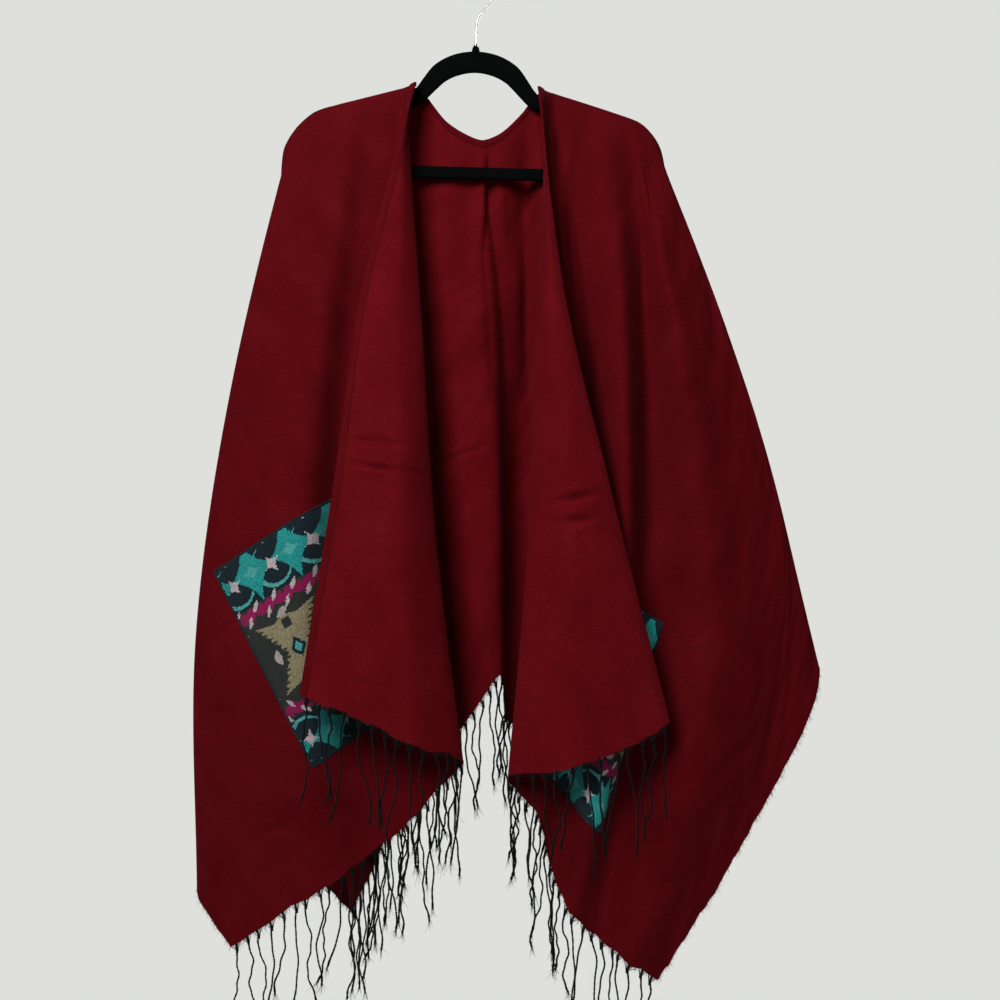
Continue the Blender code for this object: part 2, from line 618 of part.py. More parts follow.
def hook(surface_material):
    """Chrome hook: a straight stem, a lean to the right and an open round crook."""
    centre_z = HOOK_WIRE - HOOK_RADIUS
    points = [(x, 0.0, z) for x, z in HOOK_STEM]
    for degrees in range(*HOOK_ARC):
        angle = math.radians(degrees)
        points.append((HOOK_RADIUS * math.cos(angle), 0.0, centre_z + HOOK_RADIUS * math.sin(angle)))
    curve = bpy.data.curves.new("hook", "CURVE")
    curve.dimensions = "3D"
    curve.bevel_depth = HOOK_WIRE
    curve.bevel_resolution = 1
    curve.use_fill_caps = True
    spline = curve.splines.new("POLY")
    spline.points.add(len(points) - 1)
    for target, point in zip(spline.points, points):
        target.co = (*point, 1.0)
    made = bpy.data.objects.new("hook", curve)
    made.data.materials.append(surface_material)
    bpy.context.scene.collection.objects.link(made)
    return made


def main():
    for old in list(bpy.data.objects):
        bpy.data.objects.remove(old)
    materials = {key: material(row) for key, row in MATERIALS.items()}

    made = stretches()
    last = made["back"][0].shape[1] - 1
    for front, column in (("front_left", 0), ("front_right", last)):
        meet_at_pleat(made, front, column)
        part_at_pleat(made[front][0], -1, -1)
        part_at_pleat(made["back"][0], column, 1)
    for name, (grid, normals) in made.items():
        part_at_shoulder(grid, normals, 1 if name == "back" else -1)
        wall(name, grid, normals, CLOTH_WALL, materials["cloth"])

    hems = {
        "front_left": slice(0, column_at(LEFT_FRONT, "corner") + 1),
        "front_right": slice(0, column_at(RIGHT_FRONT, "corner") + 1),
        "back": slice(column_at(BACK, "corner_left"), column_at(BACK, "corner_right") + 1),
    }
    for name, columns in hems.items():
        fringe("fringe_" + name, *made[name], columns, materials["cords"])
    for name, corners in POCKETS.items():
        front = name.replace("pocket", "front")
        pocket(name, corners, made[front], FRONTS[front], materials["woven"])
    hanger(materials["velvet"])
    hook(materials["chrome"])


main()
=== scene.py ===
"""Looks of the open-front Andean poncho on its velvet hanger. Metres, +Z up, viewer towards -Y.

The cloth is lofted through the same fold lines as the CAD walls, finer, as thin shells with creases,
turned hems, raw edges and twisted fringe. The pockets are woven in bands of generic motifs.
"""

import math

import bmesh
import bpy
import numpy as np
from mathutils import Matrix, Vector
from mathutils.bvhtree import BVHTree

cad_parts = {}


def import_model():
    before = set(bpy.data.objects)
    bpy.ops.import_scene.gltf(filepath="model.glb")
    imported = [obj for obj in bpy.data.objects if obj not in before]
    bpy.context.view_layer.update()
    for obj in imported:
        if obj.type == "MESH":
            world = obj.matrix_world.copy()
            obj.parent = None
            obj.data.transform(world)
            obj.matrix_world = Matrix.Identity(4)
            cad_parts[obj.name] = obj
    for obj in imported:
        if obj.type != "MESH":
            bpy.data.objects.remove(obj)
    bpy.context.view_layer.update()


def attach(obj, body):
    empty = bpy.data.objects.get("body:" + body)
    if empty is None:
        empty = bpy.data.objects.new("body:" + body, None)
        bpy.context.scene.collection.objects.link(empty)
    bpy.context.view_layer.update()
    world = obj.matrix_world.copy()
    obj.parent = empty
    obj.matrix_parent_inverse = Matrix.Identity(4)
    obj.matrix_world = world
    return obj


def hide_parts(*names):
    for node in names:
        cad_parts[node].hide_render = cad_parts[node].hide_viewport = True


# -------- sizes, metres

# The cloth's top edge: its round over an arm, and at the neckline its place behind and its first drop
BROW_RADIUS = 0.008
NECKLINE_SET_BACK = 0.009
NECKLINE_TURN = 0.001
NECKLINE_LEAN = 0.002
NECKLINE_BROW = 0.012
# How near to the arm's middle plane the top edge lies on the arm
ON_ARM = 0.0006
CLOTH_THICKNESS = 0.0017
# Share of the way down at which the corners' folds start to sharpen
CORNER_START = 0.72
# Surface rows over the brow and on to the chest, hip and hem
ROWS = (10, 56, 62, 66)
COLUMN_PITCH = 0.009
LEAST_COLUMNS = 4

# The hanger's arms under the cloth: where the neckline meets them, and how they fall and droop
ARM_COLUMNS = ("neck_x", "neck_z", "fall", "sag", "shoulder", "droop")
ARMS = {
    "left": (-0.0745, -0.1478, 0.245, 0.05, 0.108, 232.0),
    "right": (0.080, -0.1530, 0.290, 0.25, 0.115, 580.0),
}
LAPEL_LIFT = {"free_edge": 0.020, "lapel_outer": 0.015, "lapel_inner": 0.009, "roll": 0.003}
NECKLINE_X = 0.008
NECKLINE_Z = -0.2146
NECKLINE_ROUND = 0.060
NECKLINE_SLOPE = {"left": 1.60, "right": 1.75}

# A fold's place where it leaves the top edge, its turn there in degrees, then at chest, hip and hem
FOLD_COLUMNS = (
    "fold", "top_x", "turn", "chest_x", "chest_y", "hip_x", "hip_y", "hem_x", "hem_y", "hem_z",
)
LEFT_FRONT = (
    ("free_edge", -0.0745, 0, -0.138, -0.045, -0.171, -0.075, -0.209, -0.092, -0.909),
    ("lapel_outer", -0.0785, 0, -0.110, -0.052, -0.123, -0.084, -0.145, -0.104, -0.933),
    ("lapel_inner", -0.083, 0, -0.089, -0.051, -0.083, -0.085, -0.068, -0.103, -0.970),
    ("roll", -0.088, 0, -0.067, -0.029, -0.048, -0.046, -0.014, -0.060, -0.995),
    ("roll_back", -0.095, 0, -0.082, -0.018, -0.068, -0.031, -0.038, -0.044, -1.024),
    ("under_lapel", -0.110, 0, -0.118, -0.012, -0.118, -0.022, -0.087, -0.034, -1.080),
    ("trough", -0.130, 0, -0.161, -0.008, -0.172, -0.014, -0.133, -0.032, -1.118),
    ("ridge", -0.153, 0, -0.194, -0.033, -0.212, -0.045, -0.184, -0.054, -1.151),
    ("shallow", -0.176, 0, -0.240, -0.026, -0.273, -0.036, -0.241, -0.046, -1.188),
    ("corner", -0.203, 10, -0.284, -0.016, -0.328, -0.024, -0.303, -0.036, -1.230),
    ("side_fold", -0.220, 40, -0.307, -0.003, -0.352, -0.006, -0.351, -0.006, -1.161),
    ("return", -0.226, 58, -0.279, 0.007, -0.310, 0.011, -0.274, 0.014, -1.110),
    ("pleat_lip", -0.230, 72, -0.252, 0.012, -0.244, 0.014, -0.236, 0.016, -0.765),
    ("pleat", -0.233, 90, -0.246, 0.017, -0.237, 0.019, -0.229, 0.022, -0.751),
)
RIGHT_FRONT = (
    ("free_edge", 0.080, 0, 0.112, -0.057, 0.173, -0.066, 0.238, -0.080, -0.944),
    ("lapel_outer", 0.084, 0, 0.099, -0.060, 0.144, -0.076, 0.186, -0.094, -0.972),
    ("lapel_inner", 0.088, 0, 0.090, -0.055, 0.112, -0.077, 0.114, -0.096, -0.997),
    ("roll", 0.094, 0, 0.077, -0.030, 0.067, -0.044, 0.042, -0.056, -1.016),
    ("roll_back", 0.099, 0, 0.087, -0.020, 0.088, -0.029, 0.052, -0.042, -1.033),
    ("under_lapel", 0.108, 0, 0.104, -0.012, 0.120, -0.020, 0.079, -0.034, -1.067),
    ("trough", 0.125, 0, 0.138, 0.000, 0.158, -0.008, 0.096, -0.022, -1.135),
    ("ridge_inner", 0.166, 0, 0.186, -0.044, 0.181, -0.048, 0.121, -0.048, -1.187),
    ("valley", 0.194, 0, 0.220, 0.000, 0.211, -0.010, 0.156, -0.024, -1.222),
    ("ridge_outer", 0.200, 0, 0.263, -0.040, 0.284, -0.052, 0.193, -0.056, -1.246),
    ("corner", 0.204, 10, 0.301, -0.026, 0.330, -0.040, 0.227, -0.040, -1.269),
    ("side_edge", 0.207, 22, 0.318, -0.012, 0.387, -0.020, 0.334, -0.026, -1.107),
    ("side_fold", 0.214, 40, 0.308, -0.003, 0.377, -0.006, 0.434, -0.008, -0.883),
    ("return", 0.220, 58, 0.288, 0.007, 0.343, 0.011, 0.373, 0.014, -0.854),
    ("pleat_lip", 0.223, 72, 0.266, 0.012, 0.300, 0.014, 0.304, 0.016, -0.765),
    ("pleat", 0.226, 90, 0.260, 0.017, 0.293, 0.019, 0.297, 0.022, -0.751),
)
BACK = (
    ("pleat_left", *LEFT_FRONT[-1][1:]),
    ("pleat_lip_left", -0.230, 72, -0.252, 0.023, -0.244, 0.026, -0.236, 0.028, -0.765),
    ("return_left", -0.226, 58, -0.276, 0.027, -0.290, 0.031, -0.242, 0.033, -1.012),
    ("side_left", -0.220, 40, -0.290, 0.038, -0.314, 0.045, -0.264, 0.047, -1.084),
    ("corner_left", -0.198, 10, -0.243, 0.048, -0.230, 0.060, -0.163, 0.060, -1.214),
    ("fold_1", -0.172, 0, -0.203, 0.010, -0.190, 0.006, -0.150, 0.012, -1.180),
    ("fold_2", -0.155, 0, -0.184, 0.048, -0.169, 0.058, -0.134, 0.060, -1.156),
    ("fold_3", -0.138, 0, -0.157, 0.010, -0.142, 0.006, -0.121, 0.012, -1.120),
    ("fold_4", -0.114, 0, -0.135, 0.048, -0.120, 0.058, -0.107, 0.062, -1.092),
    ("fold_5", -0.092, 0, -0.104, 0.010, -0.088, 0.006, -0.080, 0.006, -1.044),
    ("fold_6", -0.0735, 0, -0.077, 0.036, -0.062, 0.048, -0.054, 0.054, -1.009),
    ("middle_ridge", -0.034, 0, -0.022, 0.014, -0.009, 0.014, -0.004, 0.014, -0.948),
    ("middle_slope", 0.006, 0, 0.018, 0.014, 0.028, 0.014, 0.031, 0.018, -0.899),
    ("middle_valley", 0.016, 0, 0.038, 0.042, 0.045, 0.052, 0.045, 0.056, -0.968),
    ("stripe", 0.034, 0, 0.058, 0.056, 0.062, 0.062, 0.064, 0.064, -0.962),
    ("fold_7", 0.060, 0, 0.076, 0.058, 0.084, 0.064, 0.090, 0.064, -0.966),
    ("fold_8", 0.079, 0, 0.099, 0.014, 0.112, 0.008, 0.124, 0.006, -0.990),
    ("fold_9", 0.094, 0, 0.120, 0.048, 0.137, 0.058, 0.155, 0.062, -1.026),
    ("fold_10", 0.114, 0, 0.146, 0.010, 0.161, 0.006, 0.183, 0.004, -1.050),
    ("fold_11", 0.138, 0, 0.172, 0.048, 0.190, 0.058, 0.211, 0.062, -1.078),
    ("fold_12", 0.156, 0, 0.198, 0.010, 0.220, 0.006, 0.240, 0.004, -1.100),
    ("corner_right", 0.174, 0, 0.232, 0.048, 0.258, 0.060, 0.277, 0.060, -1.105),
    ("side_right", 0.212, 40, 0.290, 0.038, 0.344, 0.045, 0.353, 0.048, -1.035),
    ("return_right", 0.220, 58, 0.276, 0.027, 0.316, 0.030, 0.324, 0.031, -0.922),
    ("pleat_lip_right", 0.223, 72, 0.266, 0.023, 0.300, 0.025, 0.304, 0.028, -0.765),
    ("pleat_right", *RIGHT_FRONT[-1][1:]),
)
FRONTS = {"front_left": LEFT_FRONT, "front_right": RIGHT_FRONT}

# Fringed and raw stretches of the lower edges, from fold line to fold line
FRINGED = {
    "front_left": ("free_edge", "corner"),
    "front_right": ("free_edge", "corner"),
    "back": ("corner_left", "corner_right"),
}
RAW = {
    "front_left": (("corner", "pleat"),),
    "front_right": (("corner", "pleat"),),
    "back": (("pleat_left", "corner_left"), ("corner_right", "pleat_right")),
}

# Corners (upper outer, lower outer, lower inner, upper inner), the pattern's shift, and painted light on
# its colours, lifted most on the right pocket to make up for the lapel's shadow on it
POCKETS = {
    "left": (((-0.327, -0.764), (-0.199, -1.004), (-0.080, -0.925), (-0.178, -0.670)), 0.012, 1.05),
    "right": (((0.238, -0.829), (0.155, -1.088), (0.082, -1.010), (0.135, -0.770)), 0.037, 1.60),
}
POCKET_WIDTH = 0.170
POCKET_LENGTH = 0.265
POCKET_CELL = 0.0013
POCKET_LIFT = 0.0012
POCKET_PUFF = 0.0022
MOUTH_LIFT = 0.0018
SEAM_DEPTH = 0.0007
SEAM_INSET = 0.0045
SEAM_LIFT = 0.0001
# How deep the patch's sides run into the cloth, and its border into the patch
SKIRT_SINK = 0.0003
BORDER_SINK = 0.0004
BORDER_WIDTH = 0.0022
BORDER_RADIUS = 0.00085
BORDER_PITCH = 0.0016
BORDER_HAIRS = 500
BORDER_HAIR_RADIUS = 0.00012
# Cells between the border and its topstitching
SEAM_CELLS = 4
# Cells for each place where the cloth under a pocket is looked up, and how often that is smoothed
DRAPE_CELLS = 3
DRAPE_PASSES = 3

HEM_WIDTH = 0.010
HEM_THICKNESS = 0.0034
HEM_STITCHES_IN = 0.0089
HEM_STITCHES_LIFT = 0.0013
# Rows over an arm, below which a free edge's hem starts, and rows that the neckline's hem lies in
BROW_ROWS = 4
NECKLINE_ROWS = 14
# Round the turned hem's section: share of its width in from the edge, share of half its thickness
HEM_SECTION = (
    (1.08, 0.42), (1.00, 0.50), (0.93, 0.50), (0.85, 0.86), (0.60, 1.00), (0.30, 0.98), (0.08, 0.80),
    (-0.04, 0.36), (-0.04, -0.36), (0.08, -0.80), (0.30, -0.98), (0.60, -1.00), (0.85, -0.86),
    (0.93, -0.50), (1.00, -0.50), (1.08, -0.42),
)
STITCH_PITCH = 0.0036
STITCH_LENGTH = 0.0027
STITCH_RADIUS = 0.00042
STITCH_BOW = 0.00022

FRINGE_PITCH = 0.018
FRINGE_LENGTH = 0.130
FRINGE_CORD = 0.0021
TWIST_PITCH = 0.0064
CORD_RINGS = 44
PLY_RINGS = 56
# A cord leaves the cloth along it and hangs plumb after this much
CORD_TURN = 0.016
KNOT_RADIUS = 0.0017
KNOT_HALF = 0.0026
# How deep in the cloth a cord starts
CORD_START = 0.0015
TUFT_HAIRS = 10
TUFT_RADIUS = 0.00034
ROOT_RADIUS = 0.00046
# Where the loose warp ends that make one cord leave the cloth, along its edge
ROOT_SPOTS = (-0.0085, -0.0048, -0.0022, 0.0022, 0.0048, 0.0085)
# Loose hairs: one for each pitch, within this distance of the middle layer, shortest, longest, radius
FRINGE_HAIRS = ((0.0014, 0.0004, 0.00147, 0.0042, 0.00015), (0.0028, 0.0012, 0.002975, 0.0085, 0.00022))
HEM_FUZZ = (0.0010, 0.0008, 0.0015, 0.0050, 0.00017)
RAW_FUZZ = (0.0006, 0.0008, 0.0020, 0.0062, 0.00020)
# How deep in the edge a hair starts, and how much hairs bend down for their length
HAIR_START = 0.0008
HAIR_DROOP = 0.3
FRINGE_HAIR_DROOP = 0.5

HOOK_RADIUS = 0.026
HOOK_WIRE = 0.0014
HOOK_TIP = 0.0024
HOOK_STEM = ((0.001, -0.0982), (0.0018, -0.080), (0.003, -0.066), (0.0052, -0.060), (0.012, -0.051))
# Collar at the hook's foot
COLLAR_HEIGHTS = (0.0, 0.0004, 0.0012, 0.0020, 0.0024, 0.0026)
COLLAR_RADII = (0.0022, 0.0027, 0.0028, 0.0027, 0.0022, 0.0014)
# Right half of the hanger's loop: x, z and the section's height
HANGER_HALF = (
    (0.000, -0.1180, 0.0265),
    (0.024, -0.1218, 0.0265),
    (0.044, -0.1320, 0.0250),
    (0.057, -0.1458, 0.0215),
    (0.066, -0.1568, 0.0190),
    (0.075, -0.1655, 0.0180),
    (0.086, -0.1698, 0.0175),
    (0.120, -0.1765, 0.0175),
    (0.160, -0.1862, 0.0165),
    (0.192, -0.1935, 0.0140),
    (0.203, -0.2020, 0.0120),
    (0.194, -0.2145, 0.0120),
    (0.172, -0.2330, 0.0130),
    (0.145, -0.2500, 0.0140),
    (0.110, -0.2575, 0.0150),
    (0.055, -0.2590, 0.0150),
)
HANGER_DEPTH = 0.008
# Power of the section's round: 1 is an ellipse, 0 a rectangle
HANGER_SQUARENESS = 0.42
HANGER_TILT = 0.028
HANGER_PIVOT_Z = -0.17
SOCKET_X = 0.001
SOCKET_Z = -0.0985
SOCKET_DEPTH = 0.0042
# Neck socket, a soft cone that blends into the arc: radius, height
SOCKET_PROFILE = (
    (0.0125, -0.0160), (0.0098, -0.0128), (0.0075, -0.0112), (0.0060, -0.0090), (0.0050, -0.0055),
    (0.0044, -0.0020), (0.0038, -0.0004), (0.0026, 0.0002), (0.0004, 0.0003),
)

# Creases by stretch, on its lapel or its panel: from (x, z) to (x, z) as seen from the front, then half
# width after depth, which is positive for a trough in the outer face or in a lapel's face that shows
CREASES = (
    ("front_right", "panel", (
        (0.137, -0.190, 0.143, -0.370, 0.0080, 0.0085),
        (0.221, -0.235, 0.215, -0.460, 0.0110, 0.0150),
        (0.119, -0.300, 0.156, -0.660, 0.0170, 0.0130),
        (0.100, -0.150, 0.106, -0.320, 0.0045, 0.0055),
        (0.262, -0.850, 0.284, -0.990, 0.0110, 0.0140),
    )),
    ("front_left", "lapel", (
        (-0.165, -0.627, -0.055, -0.645, 0.0080, 0.0050),
        (-0.155, -0.602, -0.075, -0.611, 0.0055, 0.0052),
        (-0.190, -0.860, -0.120, -0.900, 0.0022, 0.0090),
        (-0.150, -0.700, -0.110, -0.760, 0.0016, 0.0120),
    )),
    ("front_left", "panel", (
        (-0.255, -0.520, -0.205, -0.610, 0.0040, 0.0100),
        (-0.300, -0.600, -0.235, -0.690, 0.0034, 0.0110),
        (-0.335, -0.860, -0.255, -0.790, 0.0031, 0.0090),
        (-0.330, -0.930, -0.240, -0.980, 0.0028, 0.0110),
        (-0.200, -0.330, -0.165, -0.420, 0.0025, 0.0120),
        (-0.300, -1.120, -0.200, -1.060, 0.0025, 0.0110),
    )),
    ("front_right", "lapel", (
        (0.065, -0.680, 0.165, -0.664, 0.0070, 0.0050),
        (0.080, -0.706, 0.175, -0.694, 0.0045, 0.0052),
        (0.130, -0.880, 0.200, -0.920, 0.0022, 0.0100),
    )),
    ("front_right", "panel", (
        (0.250, -0.780, 0.340, -0.900, 0.0040, 0.0110),
        (0.300, -0.560, 0.350, -0.640, 0.0028, 0.0100),
        (0.230, -0.470, 0.290, -0.520, 0.0022, 0.0110),
        (0.270, -1.040, 0.360, -0.960, 0.0034, 0.0100),
        (0.180, -1.180, 0.270, -1.130, 0.0022, 0.0110),
    )),
    ("back", "panel", (
        (-0.066, -0.628, 0.012, -0.606, -0.0080, 0.0050),
        (0.0165, -0.180, 0.0265, -0.540, -0.0150, 0.0085),
        (0.0500, -0.540, 0.0590, -1.060, -0.0120, 0.0160),
        (0.0660, -0.170, 0.0700, -0.560, -0.0120, 0.0150),
        (-0.0060, -0.170, -0.0060, -0.460, -0.0120, 0.0330),
        (-0.260, -0.660, -0.080, -0.640, 0.0028, 0.0055),
        (0.020, -0.615, 0.250, -0.640, 0.0028, 0.0055),
        (-0.240, -0.480, -0.150, -0.560, 0.0037, 0.0110),
        (0.130, -0.460, 0.240, -0.570, 0.0034, 0.0110),
        (-0.220, -0.930, -0.120, -0.850, 0.0031, 0.0110),
        (0.110, -0.850, 0.250, -0.960, 0.0034, 0.0120),
        (-0.100, -0.360, 0.080, -0.400, 0.0019, 0.0120),
    )),
)
CREASE_BEND = 0.003
# Places among the fold lines where the lapel ends and the panel starts
LAPEL_ENDS = 3.2
PANEL_STARTS = 3.4
CALM_MARGIN = 0.05
# Uneven waves: height, waves in the sum, longest and shortest wavelength, what is added to the seed
CLOTH_RIPPLES = ((0.0011, 9, 0.16, 0.05, 0), (0.0004, 12, 0.045, 0.018, 1))
EDGE_RIPPLES = ((0.0016, 6, 0.09, 0.025, 0), (0.0010, 6, 0.025, 0.010, 5))
# How far up from the lower edge its waves reach, and how far from its ends they start
EDGE_REACH = 0.03
EDGE_MARGIN = 0.02
# Seeds of the random draws. Each stretch adds its own number to them, or ten times that
CREASE_SEED = 40
EDGE_SEED = 60
FRINGE_SEED = 200
FUZZ_SEED = 300
POCKET_SEED = 77

FLOOR_RADIUS = 1.15
FLOOR_Z = -1.75
CAMERA_PLACE = (0.0318, -1.8, -0.674)
CAMERA_LENS = 51.012
BACKDROP = (0.738, 0.745, 0.716, 1.0)
# Light of the room from below to above: share of the way up, grey
ROOM = ((0.15, 0.04), (0.50, 0.08), (0.90, 0.16))
# Area lights: name, place, what they point at, size and power
LIGHTS = (
    ("key", (-0.72, -1.76, 0.58), (0.0, 0.0, -0.50), 0.9, 42.0),
    ("fill", (0.9, -2.3, -0.2), (0.0, 0.0, -0.7), 1.4, 2.5),
    ("behind", (0.5, 2.4, 0.5), (0.0, 0.0, -0.6), 1.6, 60.0),
)

# -------- lines and grids of points


def unit(vectors):
    return vectors / np.maximum(np.linalg.norm(vectors, axis=-1, keepdims=True), 1e-9)


def directions(grid, axis):
    """Sum of the unit steps that meet at each point along one axis of a grid of points."""
    steps = unit(np.diff(grid, axis=axis))
    first = np.take(steps, [0], axis=axis)
    last = np.take(steps, [-1], axis=axis)
    return np.concatenate((first, steps), axis=axis) + np.concatenate((steps, last), axis=axis)


def arc(grid, axis=0):
    """Distance along one axis of a grid of points, from its start."""
    steps = np.linalg.norm(np.diff(grid, axis=axis), axis=-1)
    start = np.zeros_like(np.take(steps, [0], axis=axis))
    return np.concatenate((start, np.cumsum(steps, axis=axis)), axis=axis)


def values_at(values, reach, at):
    """Vectors that are given at the distances reach, at other distances."""
    return np.stack([np.interp(at, reach, values[:, k]) for k in range(3)], axis=-1)


def fade_in(distance, over):
    """0 at no distance, 1 beyond over, smoothly."""
    s = np.clip(distance / over, 0, 1)
    return s * s * (3 - 2 * s)


def knots(points):
    """Centripetal spacing along the first axis of an array of points."""
    steps = np.maximum(np.sqrt(np.linalg.norm(np.diff(points, axis=0), axis=-1)), 1e-6)
    return np.concatenate((np.zeros((1,) + steps.shape[1:]), np.cumsum(steps, axis=0)))


def curve_points(points, segment, share, slack=None):
    """Point of the smooth curve through points, share of the way along one segment."""
    t = knots(points)
    i = segment

    def tangent(k):
        before = (points[k] - points[k - 1]) / (t[k] - t[k - 1])[..., None]
        after = (points[k + 1] - points[k]) / (t[k + 1] - t[k])[..., None]
        whole = (points[k + 1] - points[k - 1]) / (t[k + 1] - t[k - 1])[..., None]
        result = before - whole + after
        return result if slack is None else result * (1 - slack[k])[..., None]

    length = (t[i + 1] - t[i])[..., None]
    s = share
    start = (2 * s ** 3 - 3 * s ** 2 + 1) * points[i] + (s ** 3 - 2 * s ** 2 + s) * length * tangent(i)
    end = (3 * s ** 2 - 2 * s ** 3) * points[i + 1] + (s ** 3 - s ** 2) * length * tangent(i + 1)
    return start + end


def smooth_line(points, steps):
    """Finer points of the curve through all points but the first and the last, without its end."""
    segments = range(1, len(points) - 2)
    return np.array([curve_points(points, k, step / steps) for k in segments for step in range(steps)])


def ripple(u, v, seed, waves, long, short):
    """Smooth uneven waves over u and v, about 1 high: a sum of sines in scattered directions."""
    scatter = np.random.default_rng(seed)
    total = np.zeros_like(u)
    for _ in range(waves):
        wavelength = scatter.uniform(short, long)
        angle = scatter.normal(0.0, 0.5)
        phase = scatter.uniform(0, 2 * math.pi)
        along = u * math.cos(angle) + v * math.sin(angle) * 0.45
        total += np.sin(2 * math.pi * along / wavelength + phase)
    return total / math.sqrt(waves)


def ripples(table, u, v, seed):
    return sum(height * ripple(u, v, seed + more, *waves) for height, *waves, more in table)


# -------- fold lines and surfaces


def top_point(top_x):
    """Point of the cloth's top edge at top_x, and whether it lies on a hanger arm."""
    side = "left" if top_x < NECKLINE_X else "right"
    arm = dict(zip(ARM_COLUMNS, ARMS[side]))
    reach = abs(top_x - arm["neck_x"])
    if abs(top_x) >= abs(arm["neck_x"]):
        past_shoulder = max(0.0, reach - arm["shoulder"])
        fallen = arm["fall"] * reach + arm["sag"] * reach ** 2 + arm["droop"] * past_shoulder ** 3
        return np.array((top_x, 0.0, arm["neck_z"] - fallen)), True
    rise = math.hypot(top_x - NECKLINE_X, NECKLINE_ROUND) - NECKLINE_ROUND
    z = NECKLINE_Z + NECKLINE_SLOPE[side] * rise
    set_back = NECKLINE_SET_BACK * min(1.0, reach / NECKLINE_TURN)
    return np.array((top_x, set_back, z)), False


def fold_line(row, towards):
    """The stations of one fold line: a lead-in point, then top, brow, chest, hip and hem."""
    fold = dict(zip(FOLD_COLUMNS, row))
    top, on_arm = top_point(fold["top_x"])
    turn = math.radians(fold["turn"])
    outward = math.copysign(math.sin(turn), fold["top_x"])
    leave = np.array((outward, towards * math.cos(turn), 0.0))
    if on_arm:
        down = np.array((0.0, 0.0, -BROW_RADIUS))
        brow = top + leave * (BROW_RADIUS + LAPEL_LIFT.get(fold["fold"], 0.0)) + down
        lead_in = top - leave * BROW_RADIUS + down
    else:
        brow = top + np.array((0.0, NECKLINE_LEAN, -NECKLINE_BROW))
        lead_in = 2 * top - brow
    drop = fold["hem_z"] - brow[2]
    chest = np.array((fold["chest_x"], fold["chest_y"], brow[2] + drop / 3))
    hip = np.array((fold["hip_x"], fold["hip_y"], brow[2] + drop * 2 / 3))
    hem = np.array((fold["hem_x"], fold["hem_y"], fold["hem_z"]))
    return np.array((lead_in, top, brow, chest, hip, hem, 2 * hem - hip))


def stations(counts):
    """Segment and share of the way along it of each station, for a count of steps in each segment."""
    made = [(segment, k / count) for segment, count in enumerate(counts, start=1) for k in range(count)]
    return made + [(len(counts), 1.0)]


class Stretch:
    """One stretch of cloth: its grid [row][column], normals and distances across and down.

    places are the columns' places among the fold lines, and way, 1 or -1, turns the normals out.
    """

    def __init__(self, name, rows, towards, before, after, way):
        self.name = name
        self.names = [row[0] for row in rows]
        self.way = way
        lines = np.array([before] + [fold_line(row, towards) for row in rows] + [after])
        down = np.array([[curve_points(line, *station) for station in stations(ROWS)] for line in lines])
        slack = np.zeros(down.shape[:2])
        share_down = np.array([(segment - 2 + share) / 3 for segment, share in stations(ROWS)])
        corners = [name.startswith("corner") for name in self.names]
        slack[1:-1][corners] = np.clip((share_down - CORNER_START) / (1 - CORNER_START), 0, 1) ** 2
        # Columns close enough at the hip and the hem
        widest = np.linalg.norm(np.diff(lines[1:-1, 4:6], axis=0), axis=-1).max(axis=1)
        across = stations([max(LEAST_COLUMNS, math.ceil(wide / COLUMN_PITCH)) for wide in widest])
        columns = [curve_points(down, *station, slack) for station in across]
        self.grid = np.array(columns).transpose(1, 0, 2)
        self.places = np.array([segment - 1 + share for segment, share in across])
        self.refresh()
        self.across = arc(self.grid, 1)
        self.level = arc(self.grid[..., :2], 1)
        self.down = arc(self.grid, 0)

    def refresh(self):
        self.normals = unit(np.cross(directions(self.grid, 1), directions(self.grid, 0))) * self.way

    def column(self, fold):
        """Index of the column on a fold line."""
        return int(np.argmin(np.abs(self.places - self.names.index(fold))))

    def lower_edge(self, first, last):
        """Edge points, ways out of the cloth, and normals along the lower edge between two folds."""
        columns = slice(self.column(first), self.column(last) + 1)
        edge = self.grid[-1, columns]
        along = unit(directions(edge, 0))
        down = unit(edge - self.grid[-2, columns])
        slant = np.sum(down * along, axis=-1, keepdims=True)
        return edge, unit(down - along * slant * 0.7), self.normals[-1, columns]


def stretches():
    """The two fronts and the back. Each one's end columns run on into its neighbour."""
    made = {}
    for (name, rows), beyond, way in zip(FRONTS.items(), (BACK[1], BACK[-2]), (1, -1)):
        past = 2 * fold_line(rows[0], -1) - fold_line(rows[1], -1)
        made[name] = Stretch(name, rows, -1, past, fold_line(beyond, 1), way)
    before, after = (fold_line(rows[-2], -1) for rows in FRONTS.values())
    made["back"] = Stretch("back", BACK, 1, before, after, 1)
    return made


